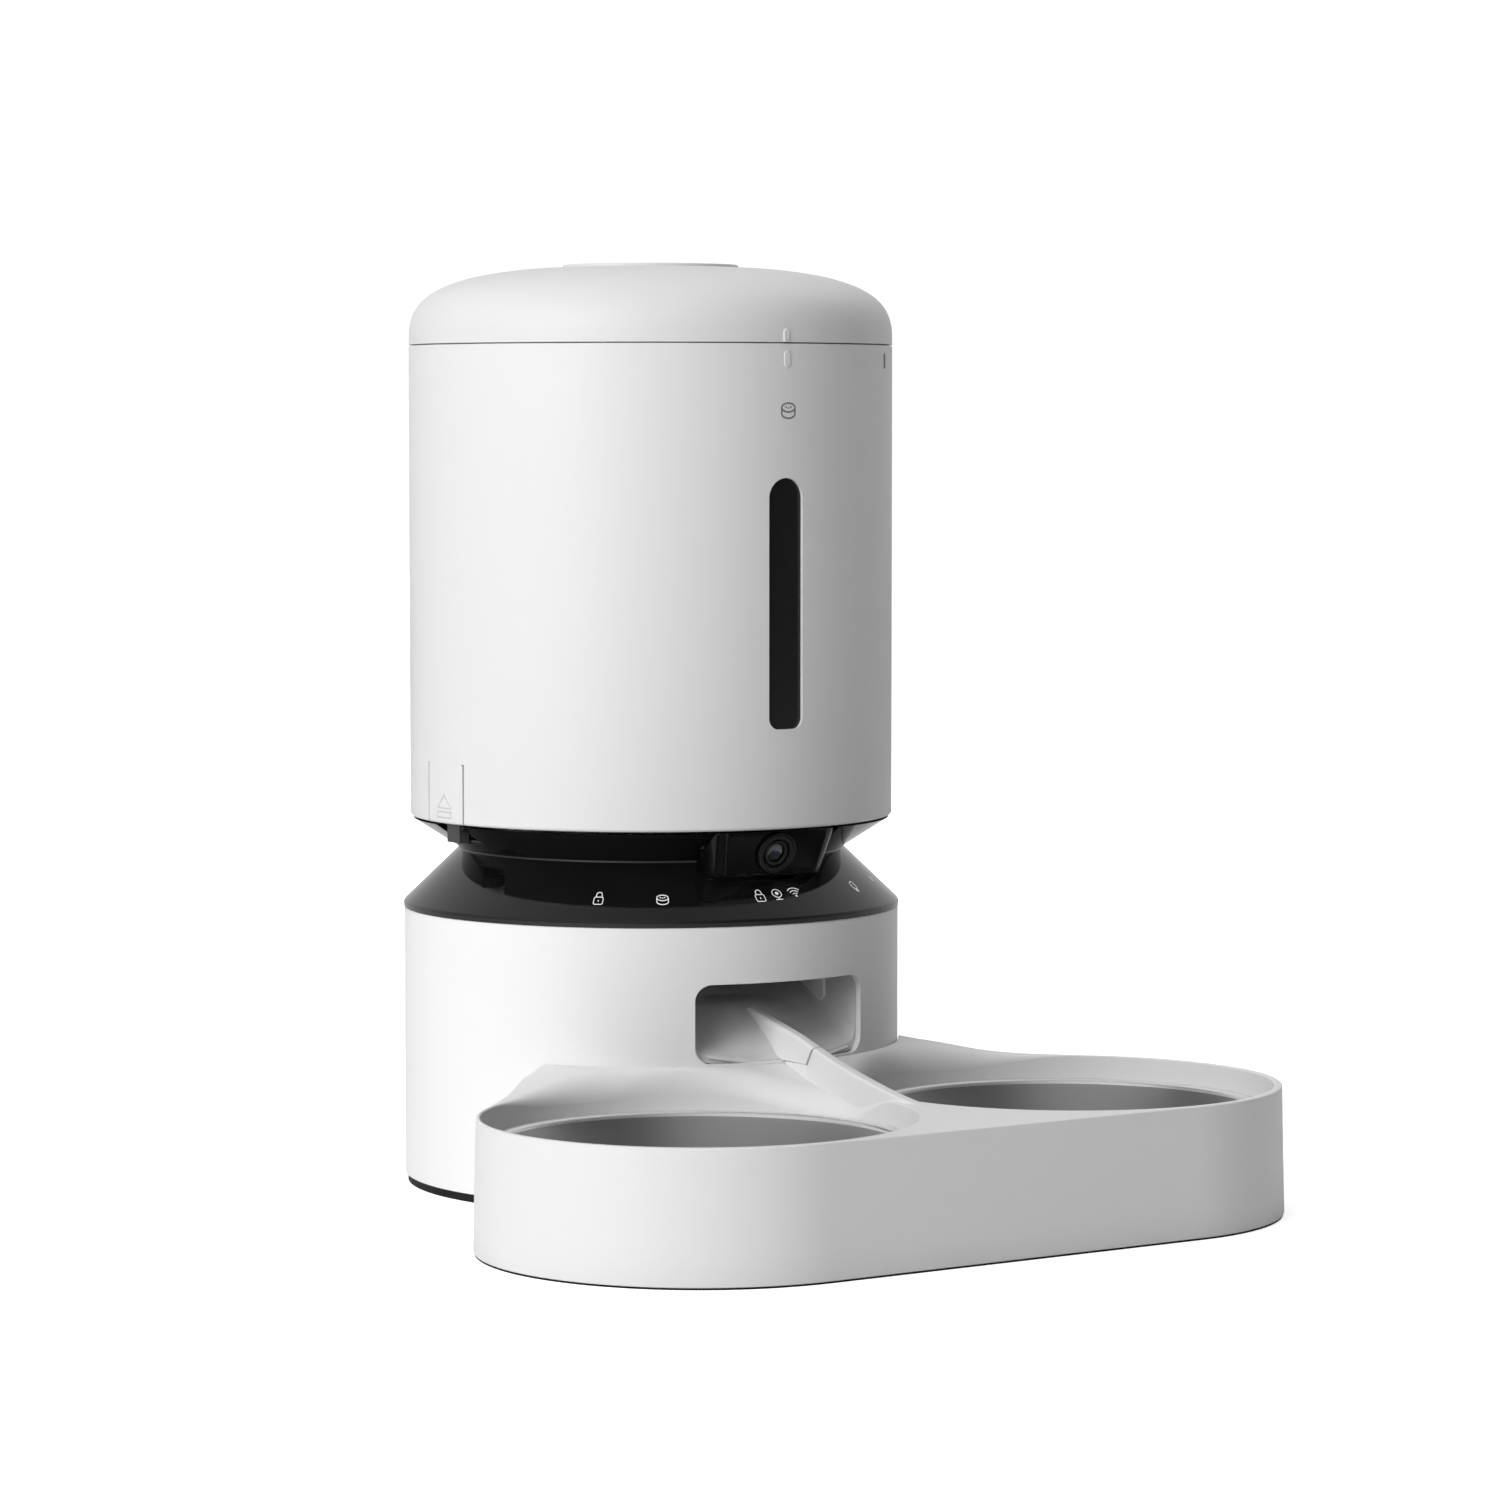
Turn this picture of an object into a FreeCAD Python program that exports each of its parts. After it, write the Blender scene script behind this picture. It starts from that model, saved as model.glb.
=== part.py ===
# Automatic pet feeder: round base with a food outlet, hourglass neck with a camera, food tank
# with a twist-on lid, and a tray with two lift-out bowls.
# Frame: millimetres, +Z up, the outlet faces -Y. The round body stands on the axis X = 0,
# Y = axis_shift, so that the whole object's bottom centre is the origin. Every sub-part is drawn
# round the body's own axis, and its Placement carries it back by axis_shift.
import FreeCAD, Part
import math
import os

import Sketcher

Vector = FreeCAD.Vector
doc = FreeCAD.newDocument("PetFeeder")

# ---------------------------------------------------------------- driving dimensions
DIMENSIONS = [
    ("axis_shift", 64.0, "body axis behind the middle of the whole object"),
    ("base_radius", 85.0, "white base, outside"),
    ("base_wall", 2.6, "white base, wall"),
    ("base_low", 2.9, "white base, lower edge"),
    ("base_high", 94.7, "white base, upper edge"),
    ("band_radius", 85.2, "black edge above the white base"),
    ("waist_radius", 66.4, "narrowest place of the neck"),
    ("waist_high", 114.5, "seam between the panel and the cradle"),
    ("cradle_radius", 81.75, "upper rim of the cradle"),
    ("cradle_high", 125.2, "upper rim of the cradle"),
    ("tank_radius", 82.74, "tank, outside"),
    ("tank_wall", 2.2, "tank, wall"),
    ("tank_low", 125.94, "tank, lower edge"),
    ("tank_high", 286.25, "tank, upper edge"),
    ("seam_gap", 0.4, "gap between tank and lid"),
    ("lid_rise", 26.7, "height of the lid's dome"),
    ("inlay_radius", 30.0, "disc on top of the lid"),
    ("cup_radius", 50.5, "rotor cup, inside"),
    ("cup_low", 97.0, "rotor cup, underside"),
    ("outlet_half", 33.2, "outlet, half width"),
    ("outlet_low", 49.2, "outlet, lower edge"),
    ("outlet_high", 75.6, "outlet, upper edge"),
    ("tray_lobe_x", 72.1, "tray lobes, centre to the side"),
    ("tray_lobe_y", 141.3, "tray lobes, centre in front of the body's axis"),
    ("tray_lobe_radius", 71.9, "tray lobes, lower edge"),
    ("tray_low", 0.6, "tray, lower edge"),
    ("tray_lip", 42.9, "tray, height of the lip"),
    ("shoulder_high", 48.9, "tray, height where it meets the base"),
    ("tray_clearance", 0.4, "tray to base"),
    ("bowl_x", 72.0, "bowl centre to the side"),
    ("bowl_y", 140.2, "bowl centre in front of the body's axis"),
    ("bowl_radius", 68.25, "bowl rim, outside"),
    ("bowl_high", 35.3, "bowl rim, top"),
    ("well_radius", 69.6, "tray well, inside"),
    ("ledge_high", 32.2, "ledge under the bowl rim"),
    ("ridge_half", 2.2, "ridge between the bowls, half thickness"),
    ("gear_module", 0.8, "gears, module"),
    ("gear_distance", 20.2, "gears, distance between axes"),
]
sheet = doc.addObject("Spreadsheet::Sheet", "Dims")
for row, (alias, amount, note) in enumerate(DIMENSIONS, start=1):
    sheet.set(f"A{row}", note)
    sheet.set(f"B{row}", str(amount))
    sheet.setAlias(f"B{row}", alias)
doc.recompute()


class Size:
    """A number together with the sheet expression that it comes from."""

    def __init__(self, value, text):
        self.value = float(value)
        self.text = text

    def join(self, other, sign, value):
        return Size(value, f"({self.text} {sign} {as_size(other).text})")

    def __add__(self, other):
        return self.join(other, "+", self.value + as_size(other).value)

    def __sub__(self, other):
        return self.join(other, "-", self.value - as_size(other).value)

    def __mul__(self, other):
        return self.join(other, "*", self.value * as_size(other).value)

    def __neg__(self):
        return Size(-self.value, f"(0 - {self.text})")


def as_size(number):
    return number if isinstance(number, Size) else Size(number, repr(float(number)))


def dim(alias):
    return Size(getattr(sheet, alias), f"Dims.{alias}")


def bind(obj, prop, size):
    """Set a property, and bind it to the sheet where the size comes from there."""
    size = as_size(size)
    if "Dims." in size.text:
        obj.setExpression(prop, size.text)
    elif "." in prop:
        place = getattr(obj, prop.split(".")[0])
        setattr(place.Base, prop.split(".")[-1], size.value)
        setattr(obj, prop.split(".")[0], place)
    else:
        setattr(obj, prop, size.value)


# ---------------------------------------------------------------- drawing helpers
NODES = []


def node(obj, label):
    """Name a finished sub-part and set it on the body's axis."""
    obj.Label = label
    obj.setExpression("Placement.Base.y", "Dims.axis_shift")
    NODES.append(obj)
    return obj


def new_body(name):
    return doc.addObject("PartDesign::Body", name)


def new_sketch(body, role, offset=0.0):
    plane = [item for item in body.Origin.OriginFeatures if item.Role == role][0]
    sketch = body.newObject("Sketcher::SketchObject", body.Name + "_sketch")
    sketch.AttachmentSupport = [(plane, "")]
    sketch.MapMode = "FlatFace"
    bind(sketch, "AttachmentOffset.Base.z", offset)
    return sketch


def pin_point(sketch, edge, end, point):
    """Hold one end of an edge at a place given by two sizes."""
    for kind, coordinate in zip(("DistanceX", "DistanceY"), point):
        size = as_size(coordinate)
        index = sketch.addConstraint(Sketcher.Constraint(kind, -1, 1, edge, end, size.value))
        if "Dims." in size.text:
            sketch.setExpression(f"Constraints[{index}]", size.text)


def draw_polygon(sketch, points):
    corners = [Vector(as_size(x).value, as_size(y).value, 0) for x, y in points]
    first = sketch.GeometryCount
    count = len(points)
    for i in range(count):
        sketch.addGeometry(Part.LineSegment(corners[i], corners[(i + 1) % count]), False)
    for i in range(count):
        following = first + (i + 1) % count
        sketch.addConstraint(Sketcher.Constraint("Coincident", first + i, 2, following, 1))
        pin_point(sketch, first + i, 1, points[i])


def draw_circle(sketch, x, y, radius):
    center = Vector(as_size(x).value, as_size(y).value, 0)
    edge = sketch.addGeometry(
        Part.Circle(center, Vector(0, 0, 1), as_size(radius).value), False)
    pin_point(sketch, edge, 3, (x, y))
    index = sketch.addConstraint(Sketcher.Constraint("Radius", edge, as_size(radius).value))
    if "Dims." in as_size(radius).text:
        sketch.setExpression(f"Constraints[{index}]", as_size(radius).text)


def rectangle(x_low, x_high, y_low, y_high):
    return [(x_low, y_low), (x_high, y_low), (x_high, y_high), (x_low, y_high)]


def turn(body, points, kind="Revolution"):
    """Revolve a profile of (radius, height) points about the body's Z axis."""
    sketch = new_sketch(body, "XZ_Plane")
    draw_polygon(sketch, points)
    feature = body.newObject(f"PartDesign::{kind}", f"{body.Name}_{kind.lower()}")
    feature.Profile = sketch
    feature.ReferenceAxis = (sketch, ["V_Axis"])
    feature.Angle = 360
    doc.recompute()
    return feature


def extrude(body, role, offset, length, points, kind="Pad", reverse=False, midplane=False):
    """Pad or pocket an outline drawn on one of the body's origin planes."""
    sketch = new_sketch(body, role, offset)
    draw_polygon(sketch, points)
    return extrude_sketch(body, sketch, length, kind, reverse, midplane)


def extrude_sketch(body, sketch, length, kind="Pad", reverse=False, midplane=False):
    feature = body.newObject(f"PartDesign::{kind}", f"{body.Name}_{kind.lower()}")
    feature.Profile = sketch
    bind(feature, "Length", length)
    feature.Reversed = reverse
    feature.Midplane = midplane
    before = body.Shape.Volume if not body.Shape.isNull() else 0.0
    doc.recompute()
    if abs(body.Shape.Volume - before) < 1e-3:
        raise RuntimeError(f"{body.Name}: {kind} changed nothing")
    return feature


def turned(label, points):
    body = new_body(label)
    turn(body, points)
    return node(body, label)


def disc(label, radius, low, high, x=0.0, y=0.0):
    """A plain round plate or pin, standing on Z."""
    body = new_body(label)
    sketch = new_sketch(body, "XY_Plane", low)
    draw_circle(sketch, x, y, radius)
    extrude_sketch(body, sketch, as_size(high) - low)
    return node(body, label)


def round_edges(body, radius, wanted, kind="Fillet"):
    """Fillet or chamfer those edges of the body that the test picks."""
    base = body.Tip
    names = [f"Edge{i}" for i, edge in enumerate(base.Shape.Edges, start=1) if wanted(edge)]
    if not names:
        raise RuntimeError(f"{body.Name}: no edge to round")
    feature = body.newObject(f"PartDesign::{kind}", f"{body.Name}_{kind.lower()}")
    feature.Base = (base, names)
    bind(feature, "Radius" if kind == "Fillet" else "Size", radius)
    doc.recompute()
    return feature


def ring_edge(radius, height, slack=0.3):
    """Test for a round edge about Z with this radius at this height."""
    def wanted(edge):
        box = edge.BoundBox
        flat = box.ZLength < 0.01 and abs(box.ZMin - height) < slack
        curve = edge.Curve
        return flat and isinstance(curve, Part.Circle) and abs(curve.Radius - radius) < slack
    return wanted


def straight_edge(axis, *places):
    """Test for a straight edge along one axis that passes near one of these places."""
    def wanted(edge):
        if not isinstance(edge.Curve, (Part.Line, Part.LineSegment)):
            return False
        box = edge.BoundBox
        spans = {"x": box.XLength, "y": box.YLength, "z": box.ZLength}
        if any(span > 0.01 for name, span in spans.items() if name != axis):
            return False
        middle = box.Center
        across = {"x": (middle.y, middle.z), "y": (middle.x, middle.z), "z": (middle.x, middle.y)}
        return any(math.dist(across[axis], place) < 0.3 for place in places)
    return wanted


def primitive(kind, name, place, **sizes):
    obj = doc.addObject(f"Part::{kind}", name)
    for prop, size in sizes.items():
        bind(obj, prop, size)
    for letter, coordinate in zip("xyz", place):
        bind(obj, f"Placement.Base.{letter}", coordinate)
    return obj


def block(name, x_low, x_high, y_low, y_high, z_low, z_high):
    """A box from its lowest to its highest corner."""
    spans = [as_size(high) - low for low, high in
             ((x_low, x_high), (y_low, y_high), (z_low, z_high))]
    return primitive("Box", name, (x_low, y_low, z_low),
                     Length=spans[0], Width=spans[1], Height=spans[2])


def cylinder(name, radius, low, high, x=0.0, y=0.0):
    return primitive("Cylinder", name, (x, y, low), Radius=radius, Height=as_size(high) - low)


def lying_cylinder(name, radius, y_low, y_high, x, z):
    """A cylinder along Y."""
    obj = primitive("Cylinder", name, (x, y_high, z), Radius=radius,
                    Height=as_size(y_high) - y_low)
    obj.Placement.Rotation = FreeCAD.Rotation(Vector(1, 0, 0), 90)
    return obj


def fuse(name, parts):
    obj = doc.addObject("Part::MultiFuse", name)
    obj.Shapes = parts
    obj.Refine = True
    doc.recompute()
    return obj


def cut(name, base, tool):
    obj = doc.addObject("Part::Cut", name)
    obj.Base = base
    obj.Tool = tool
    obj.Refine = True
    doc.recompute()
    return obj


def common(name, parts):
    obj = doc.addObject("Part::MultiCommon", name)
    obj.Shapes = parts
    obj.Refine = True
    doc.recompute()
    return obj


def group(label, solids):
    """Separate identical solids that share one node."""
    obj = doc.addObject("Part::Compound", label)
    obj.Links = solids
    doc.recompute()
    return node(obj, label)


def polar(radius, degrees):
    """A point at this angle from the front, positive towards +X."""
    angle = math.radians(degrees)
    return radius * math.sin(angle), -radius * math.cos(angle)


# ---------------------------------------------------------------- base: walls and floor
base_radius = dim("base_radius")
base_inner = base_radius - dim("base_wall")
base_low = dim("base_low")
base_high = dim("base_high")
outlet_half = dim("outlet_half")
outlet_low = dim("outlet_low")
outlet_high = dim("outlet_high")
OUTLET_CORNER = 5.5
JACK_HEIGHT = 16.0
JACK_RADIUS = 4.2


def make_base_shell():
    """White round wall with the food outlet in front and the power inlet at the back."""
    body = new_body("base_shell")
    turn(body, rectangle(base_inner, base_radius, base_low, base_high))
    round_edges(body, 0.5, ring_edge(85.0, 94.7))
    extrude(body, "XZ_Plane", 60.0, 40.0,
            rectangle(-outlet_half, outlet_half, outlet_low, outlet_high), "Pocket", True)
    corners = [(x, z) for x in (-33.2, 33.2) for z in (49.2, 75.6)]
    round_edges(body, OUTLET_CORNER, straight_edge("y", *corners))
    sketch = new_sketch(body, "XZ_Plane", -60.0)
    draw_circle(sketch, 0.0, JACK_HEIGHT, JACK_RADIUS)
    extrude_sketch(body, sketch, 40.0, "Pocket")
    node(body, "base_shell")


FLOOR_TOP = 5.4
BAY = (-55.5, 55.5, -14.0, 57.0)
BAY_TOP = 42.0
DOOR_GAP = 0.5
SCREW_RING = 71.0
SCREW_ANGLES = (-70.0, -20.0, 20.0, 70.0, 180.0)
SPEAKER_PLACE = (-40.0, -38.0)


def make_floor():
    """Black floor plate with the battery opening, screw holes and sound slots."""
    body = new_body("base_floor")
    sketch = new_sketch(body, "XY_Plane", base_low)
    draw_circle(sketch, 0.0, 0.0, base_inner - 0.2)
    draw_polygon(sketch, rectangle(-53.0, 53.0, -12.0, 55.0))
    for angle in SCREW_ANGLES:
        draw_circle(sketch, *polar(SCREW_RING, angle), 1.7)
    extrude_sketch(body, sketch, as_size(FLOOR_TOP) - base_low)
    for offset in (-6.0, 0.0, 6.0):
        x, y = SPEAKER_PLACE
        extrude(body, "XY_Plane", 2.0, 6.0,
                rectangle(x - 8.0, x + 8.0, y + offset - 1.0, y + offset + 1.0), "Pocket", True)
    node(body, "base_floor")

    turned("foot_ring", rectangle(78.2, 84.1, 0.0, base_low))

    screws = []
    for number, angle in enumerate(SCREW_ANGLES):
        x, y = polar(SCREW_RING, angle)
        head = cylinder(f"screw_head_{number}", 3.0, 1.3, base_low, x, y)
        stem = cylinder(f"screw_stem_{number}", 1.5, 1.3, 9.6, x, y)
        screws.append(fuse(f"screw_{number}", [head, stem]))
    group("floor_screws", screws)


CELL_RADIUS = 16.6
CELL_SPACING = 34.5


def make_battery_bay():
    x_low, x_high, y_low, y_high = BAY
    outer = block("bay_outer", x_low, x_high, y_low, y_high, FLOOR_TOP, BAY_TOP)
    inner = block("bay_inner", x_low + 2, x_high - 2, y_low + 2, y_high - 2, FLOOR_TOP, 40.0)
    node(cut("battery_bay", outer, inner), "battery_bay")

    cells = []
    plates = []
    for number in (-1, 0, 1):
        x = number * CELL_SPACING
        can = lying_cylinder(f"cell_can_{number}", CELL_RADIUS, -9.0, 49.5, x, 22.6)
        cap = lying_cylinder(f"cell_cap_{number}", 4.7, 49.5, 51.5, x, 22.6)
        cells.append(fuse(f"cell_{number}", [can, cap]))
        plates.append(block(f"plate_front_{number}", x - 6, x + 6, -11.9, -9.0, 16.0, 29.0))
        plates.append(block(f"plate_back_{number}", x - 6, x + 6, 51.5, 54.9, 16.0, 29.0))
    group("battery_cells", cells)
    group("battery_contacts", plates)

    body = new_body("battery_door")
    extrude(body, "XY_Plane", base_low, 1.7,
            rectangle(-53 + DOOR_GAP, 53 - DOOR_GAP, -12 + DOOR_GAP, 55 - DOOR_GAP))
    extrude(body, "XY_Plane", 2.0, 1.9, rectangle(-9.0, 9.0, 46.0, 50.0), "Pocket", True)
    node(body, "battery_door")


def make_power_and_sound():
    body = new_body("power_jack")
    extrude(body, "XZ_Plane", -81.9, 12.0, rectangle(-6.0, 6.0, 10.0, 22.0), "Pad")
    sketch = new_sketch(body, "XZ_Plane", -84.6)
    draw_circle(sketch, 0.0, JACK_HEIGHT, JACK_RADIUS - 0.1)
    extrude_sketch(body, sketch, 4.0)
    sketch = new_sketch(body, "XZ_Plane", -84.6)
    draw_circle(sketch, 0.0, JACK_HEIGHT, 3.1)
    draw_circle(sketch, 0.0, JACK_HEIGHT, 0.95)
    extrude_sketch(body, sketch, 9.0, "Pocket", True)
    node(body, "power_jack")

    x, y = SPEAKER_PLACE
    turned_speaker = new_body("speaker")
    sketch = new_sketch(turned_speaker, "XY_Plane", FLOOR_TOP + 0.2)
    draw_circle(sketch, x, y, 14.0)
    extrude_sketch(turned_speaker, sketch, 5.0)
    sketch = new_sketch(turned_speaker, "XY_Plane", FLOOR_TOP + 5.0)
    draw_circle(sketch, x, y, 8.5)
    extrude_sketch(turned_speaker, sketch, 5.0)
    node(turned_speaker, "speaker")

    board = block("board_plate", -32.0, 32.0, 66.0, 67.6, 26.0, 76.0)
    chips = [block("board_chip", -12.0, 2.0, 63.8, 66.0, 44.0, 58.0),
             block("board_radio", 10.0, 26.0, 62.6, 66.0, 56.0, 72.0),
             block("board_plug", -28.0, -18.0, 60.0, 66.0, 30.0, 36.0)]
    node(fuse("main_board", [board] + chips), "main_board")


# ---------------------------------------------------------------- chute and splitter
CHUTE_WALL = 2.0
DUCT_FRONT = -53.0
DUCT_BACK = -21.5
DUCT_TOP = 96.4
RAMP_START = -82.8
RAMP_SLOPE = 0.5
PAD_THICKNESS = 1.2


def ramp_height(y):
    """Height of the ramp's surface at a place behind the outlet."""
    return 49.4 + RAMP_SLOPE * (y - RAMP_START)


def make_chute():
    """Ramp and duct that bring the food from the tank's drop hole to the outlet."""
    ceiling = outlet_high - 0.1
    body = new_body("chute_box")
    extrude(body, "YZ_Plane", 0.0, 2 * (33.2 + CHUTE_WALL), [
        (-84.0, ramp_height(-84.0) - 2.6), (DUCT_BACK + 2, ramp_height(DUCT_BACK + 2) - 2.6),
        (DUCT_BACK + 2, DUCT_TOP), (DUCT_FRONT - 2, DUCT_TOP), (DUCT_FRONT - 2, ceiling + 2),
        (-84.0, ceiling + 2)], midplane=True)
    extrude(body, "YZ_Plane", 0.0, 2 * 33.0, [
        (-90.0, ramp_height(-90.0)), (DUCT_BACK, ramp_height(DUCT_BACK)),
        (DUCT_BACK, DUCT_TOP + 1), (DUCT_FRONT, DUCT_TOP + 1), (DUCT_FRONT, ceiling),
        (-90.0, ceiling)], "Pocket", midplane=True)

    def ramp_edge(edge):
        box = edge.BoundBox
        inside = abs(abs(box.Center.x) - 33.0) < 0.01 and box.XLength < 0.01
        return inside and box.YLength > 50 and 20 < box.ZLength < 60
    round_edges(body, 4.0, ramp_edge)
    limit = cylinder("chute_limit", base_inner - 0.1, 0.0, 200.0)
    node(common("outlet_chute", [body, limit]), "outlet_chute")

    pads = []
    for side in (-1, 1):
        pad = new_body(f"sensor_window_{side + 1}")
        face = side * 33.0 if side < 0 else 33.0 - PAD_THICKNESS
        extrude(pad, "YZ_Plane", face, PAD_THICKNESS, [
            (-57.8, ceiling), (-57.8, 66.0), (-56.6, 64.4), (-54.2, 64.6), (-36.0, 73.7),
            (-36.0, ceiling)])
        pads.append(cut(f"sensor_pad_{side + 1}", pad, body))
    group("sensor_windows", pads)


SEAM_TOP = (-101.0, 55.2)
SEAM_FOOT = (-97.3, 49.35)
TIP_BACK = -60.5


def make_splitter_tip():
    """Thin wedge that stands on the ramp and starts the ridge between the bowls."""
    half = dim("ridge_half")
    body = new_body("splitter_tip")
    extrude(body, "YZ_Plane", 0.0, half * 2, [
        SEAM_FOOT, SEAM_TOP, (-91.0, 58.2), (-62.6, 64.9), (TIP_BACK, ramp_height(TIP_BACK)),
        (RAMP_START, ramp_height(RAMP_START))], midplane=True)

    def crest_edge(edge):
        box = edge.BoundBox
        return box.XLength < 0.01 and box.YLength > 9 and box.ZMin > 55
    round_edges(body, 1.3, crest_edge)
    node(body, "splitter_tip")


# ---------------------------------------------------------------- neck: panel, cradle, camera
waist_radius = dim("waist_radius")
waist_high = dim("waist_high")
cradle_high = dim("cradle_high")
LENS_CENTER = (0.0, -76.3, 117.7)
FACE_TILT = 18.7
POD_LOW = 109.4
POD_HIGH = 125.3
POD_BACK = 73.0


def tilted_cylinder(name, radius, back, front):
    """A cylinder on the lens's axis, from one depth to another; front is positive."""
    tilt = math.radians(FACE_TILT)
    outward = Vector(0, -math.cos(tilt), -math.sin(tilt))
    start = Vector(*LENS_CENTER) + outward * back
    obj = doc.addObject("Part::Cylinder", name)
    obj.Radius = radius
    obj.Height = front - back
    obj.Placement = FreeCAD.Placement(start, FreeCAD.Rotation(Vector(0, 0, 1), outward))
    return obj


def pod_outline(half, front):
    """Plan of the camera pod: straight sides, and a front with broken corners."""
    return [(-half, -58.0), (-half, front + 7.5), (-half + 2.6, front + 2.8),
            (-half + 8.0, front), (half - 8.0, front), (half - 2.6, front + 2.8),
            (half, front + 7.5), (half, -58.0)]


def lens_pocket(name):
    """Stepped hole for the lens, its ring and the small board behind them."""
    return fuse(name, [tilted_cylinder(name + "_front", 7.0, -3.2, 4.0),
                       tilted_cylinder(name + "_back", 4.8, -6.5, 0.0)])


def make_neck():
    body = new_body("panel_cone")
    turn(body, [
        (80.9, base_high), (dim("band_radius"), base_high), (dim("band_radius"), 96.0),
        (84.75, 96.85), (waist_radius, waist_high), (63.6, waist_high), (63.6, 112.6),
        (80.9, 95.8)])
    gap = block("panel_gap", -21.5, 21.5, -90.0, -66.0, 108.3, 110.4)
    node(cut("control_panel", body, gap), "control_panel")

    dish = new_body("cradle_dish")
    turn(dish, [
        (56.0, waist_high), (waist_radius, waist_high), (waist_radius, 115.1), (67.2, 115.9),
        (dim("cradle_radius"), cradle_high), (78.6, cradle_high), (65.5, 117.0), (56.0, 117.0)])
    pod_gap = cut("pod_gap", block("pod_gap_block", -24.8, 24.8, -90.0, -60.0, 119.0, 130.0),
                  cylinder("pod_gap_back", POD_BACK, 110.0, 130.0))
    openings = [pod_gap, lens_pocket("cradle_pocket"),
                block("latch_gap_left", -90.0, -69.5, -7.5, 7.5, 118.6, 130.0),
                block("latch_gap_right", 69.5, 90.0, -7.5, 7.5, 118.6, 130.0)]
    node(cut("neck_cradle", dish, fuse("cradle_gaps", openings)), "neck_cradle")

    ring = new_body("touch_board")
    turn(ring, [(70.0, 101.0), (72.0, 101.0), (72.0, 103.6), (70.0, 103.6)])
    node(ring, "touch_board")


def make_camera():
    pod = new_body("pod_block")
    low = new_sketch(pod, "XY_Plane", POD_LOW)
    draw_polygon(low, pod_outline(21.8, -73.2))
    high = new_sketch(pod, "XY_Plane", POD_HIGH)
    draw_polygon(high, pod_outline(24.5, -78.6))
    loft = pod.newObject("PartDesign::AdditiveLoft", "pod_loft")
    loft.Profile = low
    loft.Sections = [high]
    loft.Ruled = True
    doc.recompute()
    core = new_body("neck_core")
    turn(core, [(0.0, 100.0), (81.5, 100.0), (waist_radius, waist_high), (waist_radius, 115.1),
                (67.2, 115.9), (72.05, 119.0), (POD_BACK, 119.0), (POD_BACK, 130.0), (0.0, 130.0)])
    pocket = lens_pocket("pod_pocket")
    gap_roof = block("pod_under", -21.5, 21.5, -90.0, -66.0, 108.0, POD_LOW + 0.01)
    tools = fuse("pod_tools", [core, pocket, gap_roof])
    node(cut("camera_housing", pod, tools), "camera_housing")

    node(cut("lens_ring", tilted_cylinder("ring_outer", 6.95, -2.2, 0.9),
             tilted_cylinder("ring_inner", 5.2, -3.0, 2.0)), "lens_ring")

    tilt = math.radians(FACE_TILT)
    outward = Vector(0, -math.cos(tilt), -math.sin(tilt))
    ball = doc.addObject("Part::Sphere", "lens_ball")
    ball.Radius = 9.0
    ball.Placement.Base = Vector(*LENS_CENTER) + outward * (-9.0 + 0.4)
    node(common("camera_lens", [ball, tilted_cylinder("lens_rod", 5.15, -3.0, 2.0)]),
         "camera_lens")
    group("camera_board", [tilted_cylinder("board_disc", 4.5, -5.6, -4.2)])


# ---------------------------------------------------------------- drive: motor and gears
CASE = (-19.4, 34.5, -18.9, 39.5)
CASE_LOW = 64.0
CASE_HIGH = 90.0
BIG_TEETH = 40
SMALL_TEETH = 10
SHAFT_RADIUS = 4.0
JOURNAL_RADIUS = 2.5
FIT = 0.05


def gear_wire(teeth, module, x, y, z, turned_by):
    """Closed outline of a gear: straight-flanked teeth with running clearance."""
    pitch = 2 * math.pi / teeth
    root = module * (teeth / 2 - 1.25)
    tip = module * (teeth / 2 + 0.9)
    points = []
    for tooth in range(teeth):
        middle = math.radians(turned_by) + tooth * pitch
        for radius, share in ((root, -0.30), (tip, -0.10), (tip, 0.10), (root, 0.30)):
            angle = middle + share * pitch
            points.append(Vector(x + radius * math.cos(angle), y + radius * math.sin(angle), z))
    points.append(points[0])
    return Part.makePolygon(points)


def gear_solid(teeth, x, y, low, high, turned_by):
    module = sheet.gear_module
    face = Part.Face(gear_wire(teeth, module, x, y, low, turned_by))
    return face.extrude(Vector(0, 0, high - low))


def feature(label, shape):
    obj = doc.addObject("Part::Feature", label)
    obj.Shape = shape
    return node(obj, label)


def bore(shape, radius, x, y):
    return shape.cut(Part.makeCylinder(radius, 200.0, Vector(x, y, 0)))


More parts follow.
